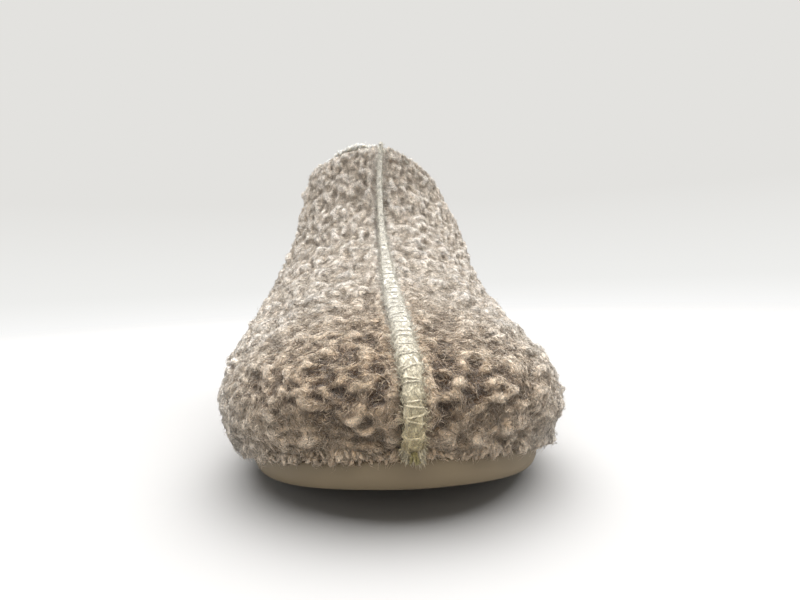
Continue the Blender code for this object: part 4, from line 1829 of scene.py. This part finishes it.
@dataclass
class Insole:
    """Loose wool insole: a felted body with pile on the part that shows through the collar."""

    pile: FeltedPile = FeltedPile(
        locks=CurlyPile(
            spacing=2.7 * MM,
            radius=(1.2 * MM, 2.0 * MM),
            rope=(4.0 * MM, 7.0 * MM),
            thickness=(0.9 * MM, 1.4 * MM),
            crest=(1.5 * MM, 2.3 * MM),
            tilt=math.radians(65),
            turn=(math.radians(150), math.radians(260)),
        ),
        shade_below=1.2 * MM,
        fibre_spacing=1.75 * MM,
        cells=8,
    )
    uneven: float = 0.8 * MM
    foremost: float = -60 * MM
    top_slope: float = 0.9
    levels: int = 2
    fill: float = 0.8
    seed: int = 23

    def build(self, frame: dict[str, Any]) -> None:
        """Rounds a copy of the solid and plants pile on its top.
        """
        body = copy_of_node(frame, "insole", "insole_felt")
        normals = np.array([face.normal for face in body.data.polygons])
        top = Surface.of_faces(body, normals[:, 2] > self.top_slope)
        apply_modifier(body, "SUBSURF", levels=self.levels, render_levels=self.levels)
        body.data.shade_smooth()
        body.data.materials.append(LINING_SKIN.material())
        seat(body, "insole")
        skin = top.part(top.triangles.mean(axis=1)[:, 1] > self.foremost)
        bundle = self.pile.plain(skin, self.uneven, np.random.default_rng(self.seed))
        bundle.make_piece("insole_pile", CREAM_LINING.material(), "insole")


@dataclass(frozen=True)
class LooseFibres:
    """One kind of short loose fibres on the seam: how many, how long and thick, where, and how they bend."""

    count: int
    length: tuple[float, float]
    radius_mm: tuple[float, float]
    places: tuple[float, float] = (-1.0, 1.0)
    points: int = 5
    bow: float = 0.5
    sag: float = 0.0

    def strands(
        self, roots: np.ndarray, headings: np.ndarray, rng: np.random.Generator
    ) -> tuple[np.ndarray, np.ndarray, np.ndarray]:
        """Lets the fibres start along their headings and bend away.

        Args:
            roots: Where they start.
            headings: Directions in which they start.
            rng: Seeded source of random numbers.

        Returns:
            Their points, their radii, and a tone for each.
        """
        bend = unit(rng.normal(size=(self.count, 3)) - self.sag * UP)
        reach = rng.uniform(*self.length, self.count)[:, None, None]
        progress = np.linspace(0.0, 1.0, self.points)[None, :, None]
        way = headings[:, None] * progress + self.bow * bend[:, None] * progress**2
        centres = roots[:, None] + reach * way
        radii = np.repeat(rng.uniform(*self.radius_mm, self.count)[:, None] * MM, self.points - 2, axis=1)
        return centres, radii, rng.random(self.count)


@dataclass
class FrontSeam:
    """The raised centre seam: a felted rib with thin threads across it, fuzzy, with a yarn end at the toe."""

    line: SeamLine
    widths_mm: tuple[float, ...] = (2.5, 2.5, 3.0, 2.75, 2.85, 2.45, 1.65, 1.2, 1.0)
    width_heights_mm: tuple[float, ...] = (25.0, 43.0, 48.0, 52.0, 60.0, 70.0, 79.0, 93.0, 134.0)
    rib_step: float = 0.6 * MM
    rib_columns: int = 15
    rib_grain: tuple[float, float] = (1.5 * MM, 0.2 * MM)
    nib_length: float = 9.0 * MM
    nib_width: float = 0.75
    proud: float = 0.15 * MM
    drop: float = 2.6 * MM
    swell: float = 0.2
    thread_pitch: float = 5.0 * MM
    threads_together: int = 2
    thread_ends: tuple[float, float] = (4.0 * MM, 3.0 * MM)
    thread_radius: tuple[float, float] = (0.17 * MM, 0.25 * MM)
    slant: float = 1.1 * MM
    felt_fibres: int = 2200
    edge_fuzz: LooseFibres = LooseFibres(2200, (0.8 * MM, 2.4 * MM), (0.06, 0.1), (0.6, 1.1))
    crest_fuzz: LooseFibres = LooseFibres(300, (0.4 * MM, 1.0 * MM), (0.06, 0.1), (0.0, 0.6))
    end_fluff: LooseFibres = LooseFibres(150, (1.2 * MM, 2.8 * MM), (0.08, 0.14), sag=1.0)
    tuft: LooseFibres = LooseFibres(20, (1.6 * MM, 2.8 * MM), (0.16, 0.28), points=7, bow=0.35, sag=1.0)
    yellow_and_shade_heights: tuple[float, float] = (26 * MM, 58 * MM)
    seed: int = 31
    rng: np.random.Generator = field(init=False)

    def build(self) -> None:
        """Builds the rib, its threads and fuzz, and its end tuft."""
        self.rng = np.random.default_rng(self.seed)
        self.make_rib()
        yarn = StrandBundle()
        self.add_threads(yarn)
        self.add_felt_fibres(yarn)
        for fuzz in (self.edge_fuzz, self.crest_fuzz):
            self.add_fuzz(yarn, fuzz)
        self.add_end_fluff(yarn)
        yarn.make_piece("front_seam_yarn", SEAM_YARN.material(), "front_seam")
        tuft = StrandBundle()
        self.add_tuft(tuft)
        tuft.make_piece("front_seam_end_tuft", TUFT_YARN.material(), "front_seam")

    def make_rib(self) -> None:
        """Sweeps the rib along the seam, swelling unevenly and narrowing to the collar."""
        rows, columns = int(self.line.length / self.rib_step), self.rib_columns
        distance = np.repeat(np.linspace(0.0, self.line.length, rows)[:, None], columns, axis=1)
        place = np.repeat(np.linspace(-1.0, 1.0, columns)[None], rows, axis=0)
        points = self.on_rib(distance, place, np.zeros_like(place)).reshape(-1, 3)
        rough = np.array([noise.noise(p) for p in (points / self.rib_grain[0]).tolist()])
        lift = (self.rib_grain[1] * rough).reshape(rows, columns)
        points = self.on_rib(distance, place, lift).reshape(-1, 3)
        number = np.arange(rows * columns).reshape(rows, columns)
        ahead, aside = number[1:, :-1], number[:-1, 1:]
        skin = np.stack([number[:-1, :-1], aside, number[1:, 1:], ahead], axis=-1).reshape(-1, 4)
        under = np.stack([number[:-1, -1], number[:-1, 0], number[1:, 0], number[1:, -1]], axis=-1)
        faces = [skin, under, number[:1, ::-1], number[-1:]]
        rib = StrandBundle()
        rib.add_faces(points, np.zeros((len(points), 3)), faces, [np.zeros((*f.shape, 2)) for f in faces])
        rib.make_piece("front_seam_felt", SEAM_FELT.material(), "front_seam", "front_seam")

    @staticmethod
    def swelling(distance: np.ndarray) -> np.ndarray:
        """Uneven swell of the felt along the seam, from -1 to 1."""
        turns = 2 * math.pi * distance / MM
        return 0.5 * np.sin(turns / 6.7) + 0.3 * np.sin(turns / 4.1 + 1.0) + 0.2 * np.sin(turns / 2.6 + 2.0)

    def half_width(self, distance: np.ndarray) -> np.ndarray:
        """Half the seam's width along it.

        Args:
            distance: Distances from the toe end.

        Returns:
            Half widths, narrower at the collar and at the nib.
        """
        height = self.line.at(distance)[0][..., 2]
        width = np.interp(height / MM, self.width_heights_mm, self.widths_mm) * MM
        return width * np.interp(self.line.length - distance, (0.0, self.nib_length), (self.nib_width, 1.0))

    def on_rib(self, distance: np.ndarray, place: np.ndarray, lift: np.ndarray) -> np.ndarray:
        """Points on the rib's surface.

        Args:
            distance: Distances from the toe end.
            place: Share of the way from the crest to the foot, negative on the lateral side.
            lift: How far off the surface.

        Returns:
            The points.
        """
        distance = np.clip(distance, 0.0, self.line.length)
        centre, across, outward = self.line.at(distance)
        wide = self.half_width(distance) * (1 + self.swell * self.swelling(distance))
        wide = wide * np.sin(place * math.pi / 2)
        fall = self.drop * np.clip((np.abs(place) - 0.4) / 0.6, 0.0, None) ** 1.5
        return centre + wide[..., None] * across + (self.proud + lift - fall)[..., None] * outward

    def pile_of(self, points: np.ndarray, share: np.ndarray | float, tone: np.ndarray) -> np.ndarray:
        """Tip share, tone and warmth of strands: a yellower cream towards the toe, and darker there as painted
        shade.

        Args:
            points: Points of shape (strands, points, 3).
            share: Share of tip colour, broadcast to the points.
            tone: Tone of each strand.

        Returns:
            Values of shape (strands, points, 3).
        """
        low, high = self.yellow_and_shade_heights
        cream = np.clip((points[..., 2] - low) / (high - low), 0.0, 1.0)
        # Lower on the seam the strands are painted darker, as shade, and warmer, as the yarn's own yellower
        # cream.
        tip = np.clip(share + 0.25 * cream, 0.0, 1.0)
        return np.stack([tip, tone[:, None] * np.ones_like(cream), 0.9 - 0.85 * cream], axis=-1)

    def add_threads(self, bundle: StrandBundle) -> None:
        """Adds the thin threads that cross the rib from side to side, two or so together.

        Args:
            bundle: Bundle that gets them.
        """
        groups, points = int(self.line.length / self.thread_pitch), 12
        first, last = self.thread_ends
        start = np.linspace(first, self.line.length - last, groups) + self.rng.normal(0.0, 0.7 * MM, groups)
        count = groups * self.threads_together
        start = np.repeat(start, self.threads_together) + self.rng.uniform(-0.8, 0.8, count) * MM
        slant = np.where(np.arange(count) % 2, 0.5, -0.5) * self.slant
        slant = slant + self.rng.normal(0.0, 0.4 * self.slant, count)
        place = np.linspace(-1.2, 1.2, points)[None] * self.rng.uniform(0.9, 1.05, count)[:, None]
        lift = 0.3 * MM + self.rng.normal(0.0, 0.05 * MM, (count, points))
        centres = self.on_rib(start[:, None] + slant[:, None] * place, place, lift)
        thick = np.repeat(self.rng.uniform(*self.thread_radius, count)[:, None], points - 2, axis=1)
        # Threads are painted darker towards the rib's flanks, as shade where they dip down into the felt.
        share = 0.8 - 0.25 * np.abs(place) ** 2
        bundle.add(centres, thick, self.pile_of(centres, share, self.rng.random(count)), 6)

    def add_felt_fibres(self, bundle: StrandBundle) -> None:
        """Adds fibres that run along the rib and give it a felted face.

        Args:
            bundle: Bundle that gets them.
        """
        count, points = self.felt_fibres, 6
        progress = np.linspace(-0.5, 0.5, points)[None]
        reach = self.rng.uniform(2.0 * MM, 7.0 * MM, count)[:, None]
        distance = self.rng.uniform(0.0, self.line.length, count)[:, None] + reach * progress
        place = self.rng.uniform(-1.0, 1.0, count)[:, None]
        place = place + self.rng.normal(0.0, 0.35, count)[:, None] * progress
        place = place + self.rng.normal(0.0, 0.05, (count, points))
        lift = self.rng.uniform(-0.05, 0.22, (count, points)) * MM
        lift[:, (0, -1)] = -0.15 * MM
        centres = self.on_rib(distance, place, lift)
        thick = np.repeat(self.rng.uniform(0.09, 0.15, count)[:, None] * MM, points - 2, axis=1)
        bundle.add(centres, thick, self.pile_of(centres, 0.62, self.rng.random(count)), 3)

    def add_fuzz(self, bundle: StrandBundle, fuzz: LooseFibres) -> None:
        """Adds fine loose fibres that stand off the rib.

        Args:
            bundle: Bundle that gets them.
            fuzz: The fibres.
        """
        distance = self.rng.uniform(0.0, self.line.length, fuzz.count)
        _, across, outward = self.line.at(distance)
        sign = self.rng.choice([-1.0, 1.0], fuzz.count)
        place = sign * self.rng.uniform(*fuzz.places, fuzz.count)
        roots = self.on_rib(distance, place, np.zeros(fuzz.count))
        out = self.rng.uniform(-0.1, 0.5, (fuzz.count, 1))
        aside = sign[:, None] * self.rng.uniform(0.0, 0.8, (fuzz.count, 1))
        ahead = self.rng.normal(0.0, 0.9, (fuzz.count, 1))
        headings = unit(outward * out + across * aside + np.cross(outward, across) * ahead)
        centres, thin, tone = fuzz.strands(roots, headings, self.rng)
        bundle.add(centres, thin, self.pile_of(centres, 0.7, tone), 3)

    def add_end_fluff(self, bundle: StrandBundle) -> None:
        """Adds the cream fibres that fan out over the sole's edge at the toe end.

        Args:
            bundle: Bundle that gets them.
        """
        count = self.end_fluff.count
        distance = self.rng.uniform(0.8 * MM, 5.0 * MM, count)
        place = self.rng.uniform(*self.end_fluff.places, count)
        _, across, outward = self.line.at(distance)
        roots = self.on_rib(distance, place, np.full(count, -0.2 * MM))
        aside = (0.35 * place + self.rng.normal(0.0, 0.3, count))[:, None]
        headings = unit(-UP + outward * self.rng.uniform(0.1, 0.7, (count, 1)) + across * aside)
        centres, thin, tone = self.end_fluff.strands(roots, headings, self.rng)
        share = np.full(centres.shape[:2], 0.8)
        bundle.add(centres, thin, CurlyPile.pile_values(share, tone, np.full(count, 0.6)), 3)

    def add_tuft(self, bundle: StrandBundle) -> None:
        """Adds the short frayed yarn end at the toe.

        Args:
            bundle: Bundle that gets it.
        """
        count = self.tuft.count
        distance = self.rng.uniform(3.8 * MM, 5.0 * MM, count)
        _, across, outward = self.line.at(distance)
        roots = self.on_rib(distance, self.rng.normal(0.0, 0.14, count), np.full(count, 0.6 * MM))
        out, aside = self.rng.uniform(0.1, 0.6, (count, 1)), self.rng.normal(0.0, 0.15, (count, 1))
        headings = unit(-UP + outward * out + across * aside)
        centres, thick, tone = self.tuft.strands(roots, headings, self.rng)
        share = np.repeat(np.linspace(0.35, 0.9, self.tuft.points)[None], count, axis=0)
        bundle.add(centres, thick, CurlyPile.pile_values(share, tone, np.full(count, 0.3)), 5)


@dataclass
class Outsole:
    """One moulded slab of rubber with a soft lower edge."""

    levels: int = 2
    flat_within: float = math.radians(60)
    square_within: float = math.radians(70)

    def build(self, frame: dict[str, Any]) -> None:
        """Rounds a copy of the solid.
        """
        slab = copy_of_node(frame, "outsole", "outsole_moulding")
        bpy.ops.object.mode_set(mode="EDIT")
        bpy.ops.mesh.select_all(action="SELECT")
        flat, square = self.flat_within, self.square_within
        bpy.ops.mesh.tris_convert_to_quads(face_threshold=flat, shape_threshold=square)
        bpy.ops.object.mode_set(mode="OBJECT")
        apply_modifier(slab, "SUBSURF", levels=self.levels, render_levels=self.levels)
        slab.data.shade_smooth()
        slab.data.materials.append(TAUPE_RUBBER.material())
        seat(slab, "outsole")


@dataclass
class Studio:
    """White table that runs into a pale backdrop, a broad soft light overhead, and the camera."""

    camera_place: tuple[float, float, float] = (-0.286 * MM, -286.81 * MM, 71.27 * MM)
    camera_yaw: float = math.radians(1.73)
    camera_pitch: float = math.radians(2.7)
    camera_roll: float = math.radians(2.3)
    lens_mm: float = 27.0
    sensor_mm: float = 36.0
    backdrop_distance: float = 3.0
    backdrop_height: float = 2.4
    backdrop_sides: int = 128
    backdrop_turns: float = 0.45
    backdrop_dims: float = 1.6
    top_glow: float = 0.3
    floor_size: float = 12.0
    table_lit: str = "aaa9a8"
    table_middle: str = "fafaf9"
    table_fade: tuple[float, float] = (0.5, 0.9)
    backdrop_low: str = "efefed"
    backdrop_high: str = "e3e2df"
    wall_front: float = 0.3
    wall_sides: float = 1.0
    wall_back: float = 0.62
    air: str = "f3f9ff"
    air_strength: float = 0.05
    ceiling_strength: float = 7.75
    ceiling_angle: float = math.radians(86)
    ceiling_aim: tuple[float, float, float] = (-0.08, -0.05, -1.0)

    def build(self) -> None:
        """Sets up the floor, backdrop, lights, world and camera."""
        self.add_floor()
        self.add_backdrop()
        self.add_ceiling_light()
        world = bpy.data.worlds.new("studio_air")
        world.use_nodes = True
        tree = world.node_tree
        feed(tree, tree.nodes["Background"], {"Color": linear(self.air), "Strength": self.air_strength})
        bpy.context.scene.world = world
        bpy.context.scene.view_settings.view_transform = "Standard"
        self.add_camera()

    def add_floor(self) -> None:
        """Adds the table top: lit paper near the boot that turns into the backdrop's glow far away."""
        bpy.ops.object.select_all(action="DESELECT")
        bpy.ops.mesh.primitive_plane_add(size=self.floor_size)
        floor = bpy.context.active_object
        floor.name = "table_top"
        material, tree, shader = new_material("white_table_paper")
        matt = {"Roughness": 0.9, "Specular IOR Level": 0.0}
        feed(tree, shader, {"Base Color": linear(self.table_lit), **matt})
        place = add_node(tree, "TexCoord").outputs["Object"]
        distance = add_node(tree, "VectorMath", {0: place}, operation="LENGTH").outputs["Value"]
        nearness = add_node(tree, "Math", {0: 1.0, 1: distance}, operation="DIVIDE")
        ends = {"From Min": 1 / self.backdrop_distance, "From Max": 1 / self.table_fade[1]}
        share = add_node(tree, "MapRange", {"Value": nearness, **ends})
        blend = {MIX_FACTOR: share, MIX_A: linear(self.backdrop_low), MIX_B: linear(self.table_middle)}
        colour = add_node(tree, "Mix", blend, data_type="RGBA").outputs[MIX_RESULT]
        glow = add_node(tree, "Emission", {"Color": colour})
        fade = {"Value": distance, "From Min": self.table_fade[0], "From Max": self.table_fade[1]}
        far = add_node(tree, "MapRange", fade, interpolation_type="SMOOTHSTEP")
        both = add_node(tree, "MixShader", {0: far, 1: shader.outputs["BSDF"], 2: glow})
        feed(tree, tree.nodes["Material Output"], {"Surface": both})
        floor.data.materials.append(material)

    def add_backdrop(self) -> None:
        """Adds the wall round the table, which glows a pale grey, brightest at its foot and at both sides."""
        bpy.ops.object.select_all(action="DESELECT")
        far, high = self.backdrop_distance, self.backdrop_height
        bpy.ops.mesh.primitive_cylinder_add(
            vertices=self.backdrop_sides, radius=far, depth=high, end_fill_type="NOTHING"
        )
        wall = bpy.context.active_object
        wall.name = "backdrop"
        bpy.ops.object.mode_set(mode="EDIT")
        bpy.ops.mesh.select_all(action="SELECT")
        bpy.ops.transform.translate(value=(0.0, 0.0, 0.5 * high))
        bpy.ops.object.mode_set(mode="OBJECT")
        material, tree, shader = new_material("pale_grey_paper")
        tree.nodes.remove(shader)
        place = add_node(tree, "TexCoord").outputs["Object"]
        parts = add_node(tree, "SeparateXYZ", {"Vector": place}).outputs
        height = add_node(tree, "MapRange", {"Value": parts["Z"], "From Max": self.backdrop_turns})
        blend = {MIX_FACTOR: height, MIX_A: linear(self.backdrop_low), MIX_B: linear(self.backdrop_high)}
        colour = add_node(tree, "Mix", blend, data_type="RGBA").outputs[MIX_RESULT]
        dimming = {"From Min": self.backdrop_dims, "From Max": high}
        dimming |= {"To Min": 1 / self.wall_back, "To Max": self.top_glow}
        glow = add_node(tree, "MapRange", {"Value": parts["Z"], **dimming})
        turn = add_node(tree, "MapRange", {"Value": parts["Y"], "From Min": -far, "From Max": far})
        ramp = add_node(tree, "ValToRGB", {"Fac": turn})
        stops = ramp.color_ramp.elements
        stops[0].color = (*[self.wall_front] * 3, 1.0)
        stops[1].color = (*[self.wall_back] * 3, 1.0)
        stops.new(0.8).color = (*[self.wall_back] * 3, 1.0)
        stops.new(0.5).color = (*[self.wall_sides] * 3, 1.0)
        strength = add_node(tree, "Math", {0: glow, 1: ramp}, operation="MULTIPLY")
        light = add_node(tree, "Emission", {"Color": colour, "Strength": strength})
        feed(tree, tree.nodes["Material Output"], {"Surface": light})
        wall.data.materials.append(material)

    def add_ceiling_light(self) -> None:
        """Adds the broad soft light of a white ceiling, a little from the medial side and from behind."""
        lamp = bpy.data.lights.new("ceiling_light", "SUN")
        lamp.energy = self.ceiling_strength
        lamp.angle = self.ceiling_angle
        holder = bpy.data.objects.new("ceiling_light", lamp)
        holder.rotation_euler = Vector(self.ceiling_aim).to_track_quat("-Z", "Y").to_euler()
        bpy.context.scene.collection.objects.link(holder)

    def add_camera(self) -> None:
        """Adds the camera at the photograph's angle, a little above the toe and slightly rolled."""
        yaw, pitch, roll = self.camera_yaw, self.camera_pitch, self.camera_roll
        ahead = Vector((math.sin(yaw) * math.cos(pitch), math.cos(yaw) * math.cos(pitch), -math.sin(pitch)))
        right = Vector((math.cos(yaw), -math.sin(yaw), 0.0))
        up = right.cross(ahead)
        x_axis = right * math.cos(roll) - up * math.sin(roll)
        y_axis = right * math.sin(roll) + up * math.cos(roll)
        view = bpy.data.cameras.new("front_view")
        view.sensor_fit = "HORIZONTAL"
        view.sensor_width = self.sensor_mm
        view.lens = self.lens_mm
        view.clip_start = 10 * MM
        camera = bpy.data.objects.new("front_view", view)
        turned = Matrix((x_axis, y_axis, -ahead)).transposed().to_4x4()
        camera.matrix_world = Matrix.Translation(self.camera_place) @ turned
        bpy.context.scene.collection.objects.link(camera)
        bpy.context.scene.camera = camera


def main() -> None:
    """Builds the studio, then the boot's pieces in order."""
    logging.basicConfig(level=logging.INFO, format="%(name)s: %(message)s")
    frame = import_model()
    bpy.ops.object.select_all(action="DESELECT")
    Studio().build()
    Outsole().build(frame)
    Insole().build(frame)
    upper = Upper()
    upper.build(frame)
    line = SeamLine.of_solid(frame)
    Fleece(upper, line).build()
    Lining().build(upper)
    FrontSeam(line).build()


if __name__ == "__main__":
    main()
